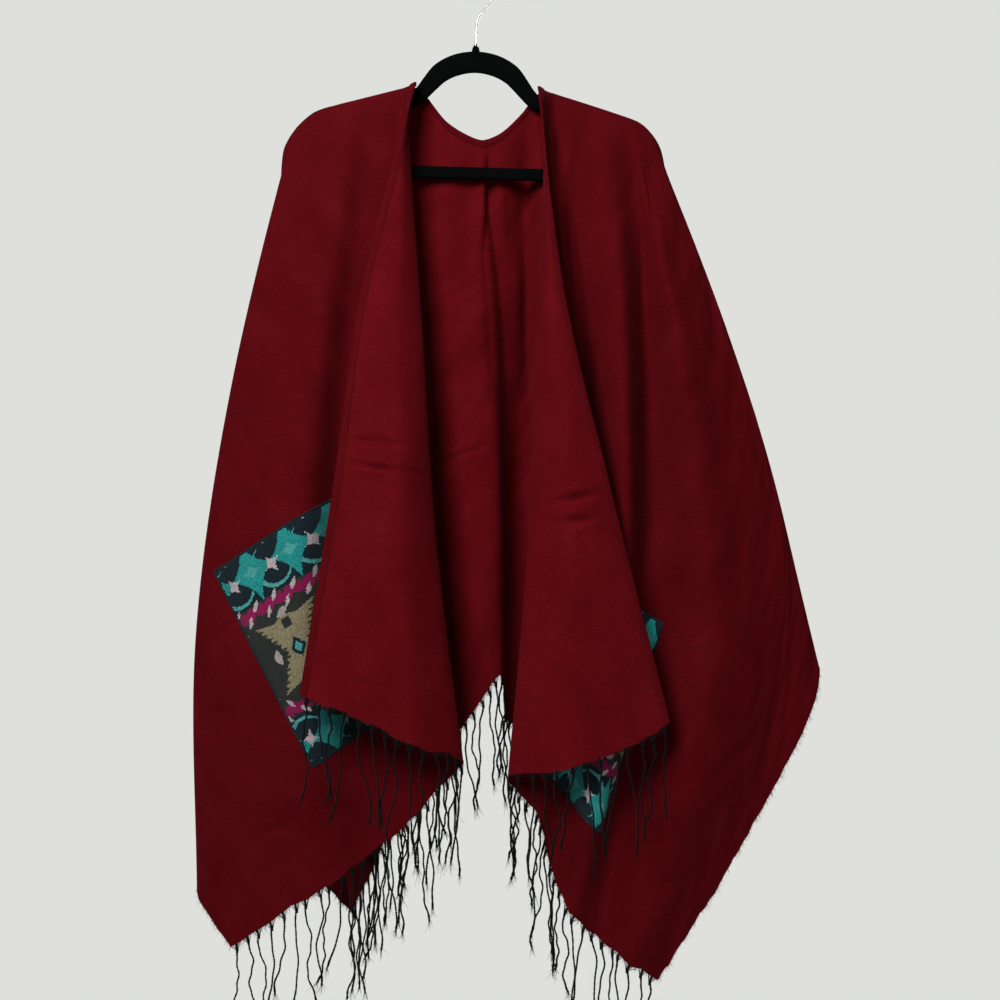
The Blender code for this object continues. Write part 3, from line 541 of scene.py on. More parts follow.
def lay_creases(stretch, seed):
    """Uneven ripples all over, and the creases of the table, as offsets along the normals."""
    u, v = stretch.across, stretch.down
    calm = fade_in(v, CALM_MARGIN) * fade_in(u[:, -1:] - u, CALM_MARGIN)
    if stretch.name == "back":
        calm = calm * fade_in(u, CALM_MARGIN)
    calm = calm * np.abs(stretch.normals[..., 1]) ** 3
    offset = ripples(CLOTH_RIPPLES, stretch.level, v, seed) * calm
    creases = [(name, part, *row) for name, part, rows in CREASES for row in rows]
    for number, (name, part, x0, z0, x1, z1, depth, half_width) in enumerate(creases):
        if name != stretch.name:
            continue
        step = np.array((x1 - x0, z1 - z0))
        length = np.linalg.norm(step)
        ahead = step / length
        x, z = stretch.grid[..., 0] - x0, stretch.grid[..., 2] - z0
        share = (x * ahead[0] + z * ahead[1]) / length
        bend = CREASE_BEND * np.sin(math.pi * np.clip(share, 0, 1)) * math.sin(2.3 * number + 1)
        off = np.abs(z * ahead[0] - x * ahead[1] - bend)
        ends = np.clip(1 - np.abs(share - 0.5) * 2, 0, 1) ** 0.6
        uneven = 0.75 + 0.25 * np.sin(share * 9 + number)
        width = half_width * (0.8 + 0.3 * np.sin(share * 5 + 2 * number))
        shape = np.exp(-(off / width) ** 2) - 0.45 * np.exp(-((off - 2 * width) / (1.3 * width)) ** 2)
        if part == "lapel":
            pressed = -depth * (stretch.places < LAPEL_ENDS)
        else:
            pressed = depth * (stretch.places > (-1 if name == "back" else PANEL_STARTS))
        offset -= pressed * shape * ends * uneven * calm
    stretch.grid = stretch.grid + stretch.normals * offset[..., None]


def wave_edge(stretch, seed):
    """Lower edges hang a little uneven."""
    u = stretch.across[-1]
    inside = fade_in(u, EDGE_MARGIN) * fade_in(u[-1] - u, EDGE_MARGIN)
    lift = ripples(EDGE_RIPPLES, u, 0 * u, seed) * inside
    near = np.clip(1 - (stretch.down[-1:] - stretch.down) / EDGE_REACH, 0, 1) ** 2
    stretch.grid[..., 2] += near * lift


# -------- meshes


def add_object(name, data):
    made = bpy.data.objects.new(name, data)
    bpy.context.scene.collection.objects.link(made)
    return made


def add_mesh(name, points, faces, look, turn_out=False):
    mesh = bpy.data.meshes.new(name)
    mesh.from_pydata(np.asarray(points).reshape(-1, 3).tolist(), [], np.asarray(faces).tolist())
    mesh.materials.append(look)
    mesh.shade_smooth()
    if turn_out:
        bm = bmesh.new()
        bm.from_mesh(mesh)
        bmesh.ops.recalc_face_normals(bm, faces=bm.faces)
        bm.to_mesh(mesh)
        bm.free()
    made = add_object(name, mesh)
    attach(made, "root")
    return made


def set_uv(mesh, coordinates):
    """UV map from one (u, v) for each vertex."""
    layer = mesh.uv_layers.new(name="cloth")
    loops = np.zeros(len(mesh.loops), np.int32)
    mesh.loops.foreach_get("vertex_index", loops)
    layer.data.foreach_set("uv", np.asarray(coordinates, np.float32)[loops].ravel())


def grid_faces(rows, columns, closed_rows=False, closed_columns=False):
    """Quads of a grid of points, row by row. A closed grid's last row or column joins its first."""
    r, c = np.indices((rows - 1 + closed_rows, columns - 1 + closed_columns))
    here, below, beside = r * columns, (r + 1) % rows * columns, (c + 1) % columns
    return np.stack((here + c, here + beside, below + beside, below + c), axis=-1).reshape(-1, 4)


def rim_of(rows, columns):
    """Numbers of the points round a grid's rim, in order."""
    number = np.arange(rows * columns).reshape(rows, columns)
    return np.concatenate((number[0], number[1:, -1], number[-1, -2::-1], number[-2:0:-1, 0]))


def shell(stretch, look, reverse):
    """Thin closed shell about a stretch's grid: look outside and on the rim, reverse inside."""
    rows, columns = stretch.grid.shape[:2]
    count = rows * columns
    half = stretch.normals * CLOTH_THICKNESS / 2
    outer = grid_faces(rows, columns)
    rim = rim_of(rows, columns)
    after = np.roll(rim, -1)
    sides = np.stack((rim, after, after + count, rim + count), axis=-1)
    faces = [outer, outer[:, ::-1] + count, sides[:, ::-1]]
    if stretch.way < 0:
        faces = [part[:, ::-1] for part in faces]
    faces = np.concatenate(faces)
    points = np.stack((stretch.grid + half, stretch.grid - half))
    made = add_mesh(stretch.name + "_cloth", points, faces, look, turn_out=True)
    mesh = made.data
    mesh.materials.append(reverse)
    of_inner = np.zeros(len(mesh.polygons), np.int32)
    of_inner[len(outer):2 * len(outer)] = 1
    mesh.polygons.foreach_set("material_index", of_inner)
    ends = np.zeros(len(mesh.edges) * 2, np.int32)
    mesh.edges.foreach_get("vertices", ends)
    ends = ends.reshape(-1, 2)
    sharp = np.isin(ends % count, rim).all(axis=1) & (np.abs(ends[:, 0] - ends[:, 1]) != count)
    mesh.attributes.new("sharp_edge", "BOOLEAN", "EDGE").data.foreach_set("value", sharp)
    uv = np.stack((stretch.across, stretch.down), axis=-1).reshape(-1, 2)
    set_uv(mesh, np.concatenate((uv, uv)))
    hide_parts(stretch.name)
    return made


def tubes(lines, radii, sides):
    """Points and faces of many tubes. lines is [line][ring][xyz] and radii the same without xyz."""
    count, rings = lines.shape[:2]
    ahead = unit(directions(lines, 1))
    side = unit(np.cross(ahead, np.broadcast_to(np.array((0.31, 0.94, 0.11)), ahead.shape)))[:, :, None]
    other = np.cross(ahead[:, :, None], side)
    angle = (np.arange(sides) * 2 * math.pi / sides)[:, None]
    ring = side * np.cos(angle) + other * np.sin(angle)
    points = lines[:, :, None] + ring * radii[:, :, None, None]
    starts = np.arange(count)[:, None, None] * rings * sides
    return points.reshape(-1, 3), (starts + grid_faces(rings, sides, closed_columns=True)).reshape(-1, 4)


class Parts:
    """Gathers points and faces of many small shapes into one mesh."""

    def __init__(self):
        self.points = []
        self.faces = []
        self.count = 0

    def add(self, points, faces):
        self.points.append(points)
        self.faces.append(faces + self.count)
        self.count += len(points)

    def mesh(self, name, look, slot=None, turn_out=False):
        points, faces = np.concatenate(self.points), np.concatenate(self.faces)
        return add_mesh(name, points, faces, look, turn_out)


# -------- hems, stitches and loose fibres


def along_lines(lines, distances):
    """Points of each line of points at the given distances from its start, also before it."""
    result = []
    for line in lines:
        before = unit(line[0] - line[1]) * np.clip(-distances, 0, None)[:, None]
        result.append(values_at(line, arc(line), distances) + before)
    return np.array(result)


def turned_hem(name, lines, normals, look):
    """A narrow turned hem round an edge. lines run inward from the edge, and normals are theirs."""
    inward, thick = np.array(HEM_SECTION).T * ((HEM_WIDTH,), (HEM_THICKNESS / 2,))
    at = along_lines(lines, inward)
    number = np.arange(len(lines))
    wobble = 1 + 0.10 * np.sin(number * 0.7) + 0.06 * np.sin(number * 1.9)
    points = at + normals[:, :1] * thick[:, None] * wobble[:, None, None]
    made = add_mesh(name, points, grid_faces(*points.shape[:2]), look, turn_out=True)
    uv = np.stack(np.broadcast_arrays(inward, arc(at[:, 0])[:, None]), axis=-1)
    set_uv(made.data, uv.reshape(-1, 2))
    return made


def stitches(name, path, facing, lift, look):
    """Short raised stitches along a path of points, on the side that facing points to."""
    reach = arc(path)
    starts = np.arange(STITCH_PITCH / 2, reach[-1] - STITCH_PITCH, STITCH_PITCH)
    s = np.linspace(-0.5, 0.5, 5)
    at = starts[:, None] + s * STITCH_LENGTH
    bow = lift + STITCH_BOW * np.cos(math.pi * s)
    lines = values_at(path, reach, at) + unit(values_at(facing, reach, at)) * bow[:, None]
    radii = np.array((0.35, 0.85, 1.0, 0.85, 0.35)) * STITCH_RADIUS
    parts = Parts()
    parts.add(*tubes(lines, np.broadcast_to(radii, lines.shape[:2]), 5))
    return parts.mesh(name, look)


def fibres(parts, starts, ways, lengths, thick, seed, droop=HAIR_DROOP):
    """Fine bent hairs from start points along ways."""
    scatter = np.random.default_rng(seed)
    count = len(starts)
    bend = scatter.normal(0, 0.35, (count, 1, 3))
    s = np.linspace(0, 1, 4)[:, None]
    step = ways[:, None] * s + bend * s * s + np.array((0, 0, -droop)) * s * s
    radii = thick * (1 - 0.75 * s[:, 0]) * scatter.uniform(0.7, 1.2, (count, 1))
    parts.add(*tubes(starts[:, None] + step * lengths[:, None, None], radii, 3))


def edge_hairs(parts, frame, hairs, seeds, droop=HAIR_DROOP):
    """Loose fibres scattered along an edge. The seeds are for places, lengths and bends."""
    pitch, within, shortest, longest, thick = hairs
    scatter = np.random.default_rng(seeds[0])
    reach = arc(frame[0])
    count = int(reach[-1] / pitch)
    at = np.sort(scatter.uniform(0, reach[-1], count))
    starts, ways, facing = (values_at(values, reach, at) for values in frame)
    ways = unit(ways)
    starts = starts + unit(facing) * scatter.uniform(-within, within, (count, 1)) - ways * HAIR_START
    ways = unit(ways + scatter.normal(0, 0.30, (count, 3)))
    lengths = np.random.default_rng(seeds[1]).uniform(shortest, longest, count)
    fibres(parts, starts, ways, lengths, thick, seeds[2], droop)


def edge_fuzz(stretch, look, seed):
    """Fuzz of loose fibres along a stretch's fringed hem and its raw edges."""
    parts = Parts()
    own = FUZZ_SEED + seed
    edge_hairs(parts, stretch.lower_edge(*FRINGED[stretch.name]), HEM_FUZZ, (own, own + 10, own + 20))
    for k, ends in enumerate(RAW[stretch.name]):
        more = 6 * seed + k
        seeds = (own + 30 + more, own + 40, own + 50 + more)
        edge_hairs(parts, stretch.lower_edge(*ends), RAW_FUZZ, seeds)
    return parts.mesh(stretch.name + "_fuzz", look, "burgundy_cloth")


def front_trims(stretch, look, thread):
    """The turned hem of a front's free edge, and its stitches on both faces."""
    inward = stretch.column("roll") + 1
    lines, normals = (values[BROW_ROWS:, :inward] for values in (stretch.grid, stretch.normals))
    trims = [turned_hem(stretch.name + "_hem", lines, normals, look)]
    path = along_lines(lines, np.array([HEM_STITCHES_IN]))[:, 0]
    for label, side in (("outer", 1), ("inner", -1)):
        name = f"{stretch.name}_stitches_{label}"
        trims.append(stitches(name, path, normals[:, 1] * side, HEM_STITCHES_LIFT, thread))
    return trims


def neckline_hem(back, look):
    columns = slice(back.column("fold_6"), back.column("fold_8") + 1)
    lines, normals = (values[:NECKLINE_ROWS, columns] for values in (back.grid, back.normals))
    return turned_hem("neckline_hem", lines.transpose(1, 0, 2), normals.transpose(1, 0, 2), look)


# -------- fringe


def leaning(starts, scatter):
    """How far each cord's end leans aside: neighbours in bunches of one to four lean together."""
    lean = np.zeros((len(starts), 2))
    first = 0
    while first < len(starts):
        bunch = slice(first, first + scatter.integers(1, 5))
        middle = starts[bunch, :2].mean(axis=0) + scatter.normal(0, 0.003, 2)
        near = starts[bunch, :2] + np.clip(middle - starts[bunch, :2], -0.015, 0.015) * 0.86
        lean[bunch] = near - starts[bunch, :2] + scatter.normal(0, (0.0022, 0.0012), near.shape)
        first = bunch.stop
    return lean


def cord_path(start, away, length, lean, scatter):
    """Centre line of one hanging cord, from inside the cloth's edge down to its knot."""
    s = np.linspace(0, 1, CORD_RINGS)
    turn = fade_in(s * length, CORD_TURN)[:, None]
    steps = unit(away * (1 - turn) + np.array((0, 0, -1.0)) * turn) * length / (len(s) - 1)
    steps[0] = 0
    path = start - away * CORD_START + np.cumsum(steps, axis=0)
    swing = scatter.uniform(0.0012, 0.0046)
    phase, turns = scatter.uniform(0, 6.28), scatter.uniform(0.7, 1.7)
    kink = scatter.uniform(0.0002, 0.0011)
    free = fade_in(s, 0.30)
    wave = swing * np.sin(phase + s * turns * 6.28) + kink * np.sin(2 * phase + s * turns * 23)
    path[:, 0] += free * (lean[0] * s ** 1.3 + wave)
    depth_wave = 0.5 * swing * np.sin(1.7 * phase + s * turns * 5.1)
    path[:, 1] += free * (lean[1] * s ** 1.3 - 0.0016 * s + depth_wave)
    return path


def twisted_cords(parts, paths):
    """Two plies wound round each path, down to a small knot."""
    s = np.linspace(0, 1, PLY_RINGS)
    lines = np.array([values_at(path, np.linspace(0, 1, len(path)), s) for path in paths])
    ahead = unit(directions(lines, 1))
    side = unit(np.cross(ahead, np.broadcast_to(np.array((0.2, 0.97, 0.1)), ahead.shape)))
    other = np.cross(ahead, side)
    angle = 2 * math.pi * s * arc(lines, 1)[:, -1:] / TWIST_PITCH
    swell = FRINGE_CORD / 2 * (1 - 0.22 * fade_in(s, 0.25) + 0.16 * fade_in(s - 0.7, 0.3))
    for half in (0, math.pi):
        out = side * np.cos(angle + half)[..., None] + other * np.sin(angle + half)[..., None]
        parts.add(*tubes(lines + out * 0.88 * swell[:, None], np.broadcast_to(swell, angle.shape), 4))
    bead = np.linspace(-1, 1, 6)
    knot = lines[:, -4:-3] + ahead[:, -4:-3] * (bead * KNOT_HALF)[:, None]
    radii = np.sqrt(np.clip(1 - bead ** 2, 0.04, 1)) * KNOT_RADIUS
    parts.add(*tubes(knot, np.broadcast_to(radii, knot.shape[:2]), 6))


def gathered_roots(parts, starts, aways, alongs, scatter):
    """Loose warp ends that run along the cloth's edge and gather into each cord."""
    s = np.linspace(0, 1, 7)[:, None]
    lines = []
    for start, away, along in zip(starts, aways, alongs):
        for spot in ROOT_SPOTS:
            begin = start + along * (spot + scatter.normal(0, 0.0007)) - away * 0.0016
            turn = start + along * spot * 0.45 + away * 0.0022
            finish = start + away * 0.0085 + along * scatter.normal(0, 0.0003) + np.array((0, 0, -0.003))
            lines.append(begin * (1 - s) ** 2 + turn * 2 * s * (1 - s) + finish * s ** 2)
    lines = np.array(lines)
    parts.add(*tubes(lines, np.full(lines.shape[:2], ROOT_RADIUS), 4))


def fringe(stretch, look, seed):
    """Twisted cords with gathered roots, knots and frayed ends, and loose hairs between them."""
    scatter = np.random.default_rng(seed)
    edge, away, normals = stretch.lower_edge(*FRINGED[stretch.name])
    reach = arc(edge)
    count = round(reach[-1] / FRINGE_PITCH)
    centres = (np.arange(count) + 0.5 + scatter.uniform(-0.22, 0.22, count)) * reach[-1] / count
    along = unit(directions(edge, 0))
    starts = values_at(edge, reach, centres)
    ways, beside = (unit(values_at(values, reach, centres)) for values in (away, along))
    lengths = FRINGE_LENGTH * (1 + scatter.uniform(-0.24, 0.04, count))
    leans = leaning(starts, scatter)
    paths = [cord_path(*four, scatter) for four in zip(starts, ways, lengths, leans)]
    parts = Parts()
    twisted_cords(parts, paths)
    gathered_roots(parts, starts, ways, beside, scatter)
    paths = np.array(paths)
    tuft = np.repeat(paths[:, -2], TUFT_HAIRS, axis=0)
    tuft += scatter.normal(0, 0.0006, tuft.shape)
    down = np.repeat(unit(paths[:, -1] - paths[:, -5]), TUFT_HAIRS, axis=0)
    down = unit(down + scatter.normal(0, 0.17, down.shape))
    fibres(parts, tuft, down, scatter.uniform(0.006, 0.013, len(tuft)), TUFT_RADIUS, seed + 4)
    for hairs in FRINGE_HAIRS:
        seeds = (seed + round(hairs[0] * 1e4), seed + 2, seed + 3)
        edge_hairs(parts, (edge, away, normals), hairs, seeds, FRINGE_HAIR_DROOP)
    made = parts.mesh(stretch.name + "_fringe", look, "black_fringe")
    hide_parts("fringe_" + stretch.name)
    return made


# -------- pockets

WEAVE = {
    "navy": (0.007, 0.020, 0.028),
    "teal": (0.020, 0.330, 0.310),
    "aqua": (0.090, 0.420, 0.400),
    "white": (0.560, 0.480, 0.490),
    "magenta": (0.300, 0.009, 0.088),
    "charcoal": (0.030, 0.034, 0.031),
    "beige": (0.300, 0.260, 0.150),
    "ivory": (0.430, 0.400, 0.370),
}
# Repeats of the bands' motifs across the pocket, and the stem's distance from its middle
DIAMOND_PITCH = 0.056
STEM_PITCH = 0.028
STEM_AT = 0.0615
HOURGLASS_PITCH = 0.096


def in_ellipse(x, y, cx, cy, a, b):
    return ((x - cx) / a) ** 2 + ((y - cy) / b) ** 2 < 1


def in_diamond(x, y, cy, a, b, power):
    """Inside a diamond about (0, cy). Its sides are hollow where power is less than 1."""
    return (np.abs(x) / a) ** power + (np.abs(y - cy) / b) ** power < 1


def tilted(x, y, tilt):
    """x and y as seen along and across a line that is tilted."""
    c, s = math.cos(tilt), math.sin(tilt)
    return x * c + y * s, y * c - x * s


def in_leaf(x, y, cx, cy, length, width, tilt):
    p, q = tilted(x - cx, y - cy, tilt)
    share = p / length
    half = 0.5 * np.cos(np.clip(share, -0.5, 0.5) * math.pi)
    return (np.abs(share) < 0.5) & (np.abs(q / width) < half)


def pocket_colours(x, y, shift):
    """Woven colours at x across and y down a pocket: bands of stars, leaves and lozenges."""
    colour = np.zeros(x.shape + (3,))

    def paint(where, name):
        colour[where] = WEAVE[name]

    def repeat(offset, pitch):
        return np.mod(x + shift + offset, pitch) - pitch / 2

    far = np.abs(y - POCKET_LENGTH / 2)
    paint(far >= 0, "charcoal")
    # Outer bands: concave teal diamonds on navy, which leaves dark ovals between them with a star each
    band = far > 0.070
    cell, gap = repeat(0, DIAMOND_PITCH), repeat(DIAMOND_PITCH / 2, DIAMOND_PITCH)
    rim = in_ellipse(cell, far, 0, 0.101, 0.0262, 0.0275)
    rim &= ~in_ellipse(cell, far, 0.0018, 0.1035, 0.0240, 0.0260)
    star = in_diamond(*tilted(cell, far - 0.102, 0.35), 0, 0.0150, 0.0150, 0.5)
    paint(band, "navy")
    paint(band & rim, "aqua")
    paint(band & in_diamond(gap, far, 0.106, 0.0320, 0.0420, 0.64), "teal")
    paint(band & in_diamond(gap, far, 0.106, 0.0130, 0.0090, 0.7), "aqua")
    paint(band & star, "white")
    paint(band & (np.abs(cell) < 0.006) & (far > 0.1285 + np.abs(cell)), "ivory")
    # Stem bands with leaves to both sides
    stem = STEM_AT + 0.0024 * np.sin((x + shift) * 2 * math.pi / STEM_PITCH)
    paint((far > 0.0515) & (far <= 0.070), "charcoal")
    paint(np.abs(far - stem) < 0.0050, "magenta")
    for offset, tip in ((0.0, 0.0680), (STEM_PITCH / 2, 0.0540)):
        step = repeat(offset, STEM_PITCH)
        paint(in_leaf(step, far, 0.0, tip, 0.0170, 0.0056, 0.85), "white")
        paint(in_leaf(step, far, 0.0060, (tip + STEM_AT) / 2, 0.0120, 0.0050, 0.85), "magenta")
    # Middle band: stepped beige hourglasses with an eye, and pale lozenges in their hollows
    cell = repeat(0.074, HOURGLASS_PITCH)
    jag = 0.0016 * np.sign(np.sin(far * 2 * math.pi / 0.0066))
    waist = 0.0130 + 0.62 * (np.round(far / 0.0044) * 0.0044) + jag
    paint((np.abs(cell) < waist) & (far < 0.0375 + 0.25 * np.abs(np.abs(cell) - 0.018)), "beige")
    paint((np.abs(cell) < 0.0060) & (far < 0.0375) & (far > 0.0260), "charcoal")
    paint(in_diamond(cell, far, 0, 0.0100, 0.0130, 1), "navy")
    paint(in_diamond(cell, far, 0, 0.0056, 0.0072, 1), "aqua")
    for at in (-0.0300, 0.0300):
        paint(in_leaf(cell, far, at, 0.0, 0.0300, 0.0170, 1.35), "charcoal")
        paint(in_leaf(cell, far, at, 0.0, 0.0200, 0.0100, 1.35), "ivory")
    paint(in_leaf(cell, far, 0.0, 0.0455, 0.0200, 0.0090, 0.35), "ivory")
    inside = np.minimum(np.minimum(x, POCKET_WIDTH - x), np.minimum(y, POCKET_LENGTH - y))
    paint(inside < BORDER_WIDTH, "navy")
    return colour


def neighbours(grid):
    """Mean of the four points next to each inner point of a grid."""
    return (grid[:-2, 1:-1] + grid[2:, 1:-1] + grid[1:-1, :-2] + grid[1:-1, 2:]) / 4


def drape(corners, stretch, shares):
    """Points and normals, [down][across], of the front's outer face under a pocket."""
    columns = slice(stretch.column("roll_back"), stretch.column("side_fold") + 1)
    grid, normals = stretch.grid[:, columns], stretch.normals[:, columns].reshape(-1, 3)
    quads = grid_faces(*grid.shape[:2])
    tree = BVHTree.FromPolygons(grid.reshape(-1, 3).tolist(), quads.tolist())
    s, t = (np.linspace(0, 1, (len(fine) - 1) // DRAPE_CELLS + 1) for fine in shares)
    upper_outer, lower_outer, lower_inner, upper_inner = np.array(corners)
    across, down = s[:, None], t[:, None, None]
    outer = upper_outer * (1 - down) + lower_outer * down
    inner = upper_inner * (1 - down) + lower_inner * down
    hits = []
    for x, z in (outer * (1 - across) + inner * across).reshape(-1, 2):
        hit = tree.ray_cast(Vector((x, -0.5, z)), Vector((0, 1, 0)))
        if hit[0] is None:
            hit = tree.find_nearest(Vector((x, -0.03, z)))
        hits.append((*hit[0], *normals[quads[hit[2]]].mean(axis=0)))
    points, facing = np.split(np.array(hits).reshape(len(t), len(s), 6), 2, axis=-1)
    for _ in range(DRAPE_PASSES):
        facing[1:-1, 1:-1] = neighbours(facing)
        points[1:-1, 1:-1, 1] = (points[1:-1, 1:-1, 1] + neighbours(points[..., 1])) / 2

    def finer(values):
        for coarse, fine in zip((s, t), shares):
            values = np.array([values_at(line, coarse, fine) for line in values]).transpose(1, 0, 2)
        return values

    return finer(points), unit(finer(unit(facing)))


def pocket_lift(u, v, seed):
    """Height of a pocket's face over the cloth: puffed, lifted at the mouth, pressed in at the seam."""
    from_sides = np.minimum(u, POCKET_WIDTH - u)
    inside = np.minimum(from_sides, POCKET_LENGTH - v)
    lift = POCKET_LIFT + CLOTH_THICKNESS / 2
    lift = lift + POCKET_PUFF * fade_in(inside, 0.02) * fade_in(v + 0.006, 0.02)
    lift += MOUTH_LIFT * np.clip(1 - v / 0.05, 0, 1) ** 2 * fade_in(from_sides, 0.05)
    lift += 0.0005 * ripple(u, v, seed, 8, 0.05, 0.02) * fade_in(inside, 0.015)
    return lift - SEAM_DEPTH * np.exp(-((inside - SEAM_INSET) / 0.0012) ** 2)


def colour_faces(mesh, u, v, shift, painted_light_lift):
    """The pattern's colours, brightened by painted light, on the top's faces, and navy on the sides."""
    centre_u, centre_v = ((values[:-1, :-1] + values[1:, 1:]) / 2 for values in (u, v))
    jitter = np.random.default_rng(5).uniform(-0.4, 0.4, centre_u.shape) * POCKET_CELL
    # Painted light: the colours are scaled up, most on the right pocket, to stand in for the light that
    # the lapel's shadow takes away
    tone = painted_light_lift + 0.16 * np.random.default_rng(6).normal(0, 1, centre_u.shape)
    top = pocket_colours(centre_u + jitter, centre_v, shift) * tone[..., None]
    colours = np.ones((len(mesh.polygons), 4, 4), np.float32)
    colours[..., :3] = WEAVE["navy"]
    colours[:centre_u.size, :, :3] = np.clip(top, 0, 1).reshape(-1, 1, 3)
    layer = mesh.color_attributes.new("weave", "FLOAT_COLOR", "CORNER")
    layer.data.foreach_set("color", colours.ravel())


def pocket_border(name, top, facing, rim, look):
    """Edge roll of overcast thread, with loose fibres."""
    ring = (top - facing * BORDER_SINK).reshape(-1, 3)[np.append(rim, 0)]
    reach = arc(ring)
    at = np.arange(0, reach[-1], BORDER_PITCH)
    path = values_at(ring, reach, at)
    radii = BORDER_RADIUS + 0.00022 * np.sin(at * 2 * math.pi / 0.0035) + 0.0001 * np.sin(at * 400)
    parts = Parts()
    parts.add(*tubes(path[None], radii[None], 5))
    scatter = np.random.default_rng(9)
    roots = path[scatter.integers(0, len(path), BORDER_HAIRS)]
    ways = unit(unit(roots - top.mean(axis=(0, 1))) * 0.8 + scatter.normal(0, 0.5, roots.shape))
    fibres(parts, roots, ways, scatter.uniform(0.0012, 0.0030, len(roots)), BORDER_HAIR_RADIUS, 10)
    return parts.mesh(name + "_border", look, "woven_pocket")


def pocket_seam(name, top, facing, rim, look):
    """Topstitching inside the border, not across the mouth."""
    rows, columns = top.shape[:2]
    sewn = rim[rim >= SEAM_CELLS * columns]
    r = np.clip(sewn // columns, SEAM_CELLS, rows - 1 - SEAM_CELLS)
    c = np.clip(sewn % columns, SEAM_CELLS, columns - 1 - SEAM_CELLS)
    moved = np.append(True, (np.diff(r) != 0) | (np.diff(c) != 0))
    r, c = r[moved], c[moved]
    return stitches(name + "_stitches", top[r, c], facing[r, c], SEAM_LIFT, look)


def pocket(name, corners, stretch, look, border_look, shift, painted_light_lift):
    """A woven patch on the front's outer face, with its colours, lifted by painted light, in an
    attribute on its faces.
    """
    shares = [np.linspace(0, 1, round(size / POCKET_CELL) + 1) for size in (POCKET_WIDTH, POCKET_LENGTH)]
    points, facing = drape(corners, stretch, shares)
    u, v = np.meshgrid(shares[0] * POCKET_WIDTH, shares[1] * POCKET_LENGTH)
    top = points + facing * pocket_lift(u, v, POCKET_SEED + round(shift * 1000))[..., None]
    skirt = points + facing * (CLOTH_THICKNESS / 2 - SKIRT_SINK)
    rim = rim_of(*u.shape)
    low = u.size + np.arange(len(rim))
    sides = np.stack((low, np.roll(low, -1), np.roll(rim, -1), rim), axis=-1)
    faces = np.concatenate((grid_faces(*u.shape), sides))
    points = np.concatenate((top.reshape(-1, 3), skirt.reshape(-1, 3)[rim]))
    made = add_mesh(name + "_woven", points, faces, look, turn_out=True)
    colour_faces(made.data, u, v, shift, painted_light_lift)
    uv = np.stack((u, v), axis=-1).reshape(-1, 2)
    set_uv(made.data, np.concatenate((uv, uv[rim])))
    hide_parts(name)
    border = pocket_border(name, top, facing, rim, border_look)
    sewn = pocket_seam(name, top, facing, rim, border_look)


# -------- hanger and hook


def hanger(look):
    """Velvet hanger: the CAD loop through the same points, smooth, with softly rounded edges."""
    half = np.array(HANGER_HALF)
    loop = np.concatenate((half, half[-1:] * (0, 1, 1), (half[1:] * (-1, 1, 1))[::-1]))
    points = np.stack((loop[:, 0], 0 * loop[:, 0], loop[:, 1]), axis=-1)
    steps, sides = 7, 24
    fine = smooth_line(np.concatenate((points[-1:], points, points[:2])), steps)
    heights = np.append(loop[:, 2], loop[0, 2])
    tall = np.interp(np.arange(len(fine)) / steps, np.arange(len(heights)), heights)
    ahead = unit(np.roll(fine, -1, axis=0) - np.roll(fine, 1, axis=0))
    across = np.cross(ahead, (0.0, 1.0, 0.0))[:, None] * tall[:, None, None] / 2
    angle = ((np.arange(sides) + 0.5) * 2 * math.pi / sides)[:, None]
    c, s = (np.sign(wave) * np.abs(wave) ** HANGER_SQUARENESS for wave in (np.cos(angle), np.sin(angle)))
    body = fine[:, None] + across * c + np.array((0.0, HANGER_DEPTH / 2, 0.0)) * s
    x, y, z = np.moveaxis(body, -1, 0)
    z = z - HANGER_PIVOT_Z
    turn_c, turn_s = math.cos(HANGER_TILT), math.sin(HANGER_TILT)
    body = np.stack((x * turn_c + z * turn_s, y, z * turn_c - x * turn_s + HANGER_PIVOT_Z), axis=-1)
    parts = Parts()
    parts.add(body.reshape(-1, 3), grid_faces(len(fine), sides, closed_rows=True, closed_columns=True))

    radius, height = np.array(SOCKET_PROFILE).T[..., None]
    deep = np.where(height < -0.006, np.minimum(radius, SOCKET_DEPTH), radius)
    angle = np.arange(sides) * 2 * math.pi / sides
    cone = (SOCKET_X + radius * np.cos(angle), deep * np.sin(angle), SOCKET_Z + height)
    cone = np.stack(np.broadcast_arrays(*cone), axis=-1)
    parts.add(cone.reshape(-1, 3), grid_faces(len(SOCKET_PROFILE), sides, closed_columns=True))
    made = parts.mesh("velvet_hanger", look, "black_velvet", turn_out=True)
    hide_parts("hanger")


def hook(look):
    """Chrome hook: the CAD line as a smooth wire with a collar below and a round tip."""
    angle = np.radians(np.arange(-40, 201, 12))
    crook = np.stack((np.cos(angle), 0 * angle, np.sin(angle)), axis=-1) * HOOK_RADIUS
    crook[:, 2] += HOOK_WIRE - HOOK_RADIUS
    points = np.concatenate(([(x, 0.0, z) for x, z in HOOK_STEM], crook))
    padded = np.concatenate(([2 * points[0] - points[1]], points, [2 * points[-1] - points[-2]]))
    line = np.append(smooth_line(padded, 8), points[-1:], axis=0)
    s = np.linspace(-1, 1, 11)
    ball = line[-1] + unit(line[-1] - line[-2]) * (s * HOOK_TIP)[:, None]
    collar = line[0] + np.array((0.0, 0.0, 1.0)) * np.array(COLLAR_HEIGHTS)[:, None]
    parts = Parts()
    parts.add(*tubes(line[None], np.full((1, len(line)), HOOK_WIRE), 14))
    parts.add(*tubes(ball[None], np.sqrt(np.clip(1 - s ** 2, 0.0004, 1))[None] * HOOK_TIP, 16))
    parts.add(*tubes(collar[None], np.array(COLLAR_RADII)[None], 16))
    made = parts.mesh("chrome_hook", look, "chrome")
    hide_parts("hook")


# -------- materials


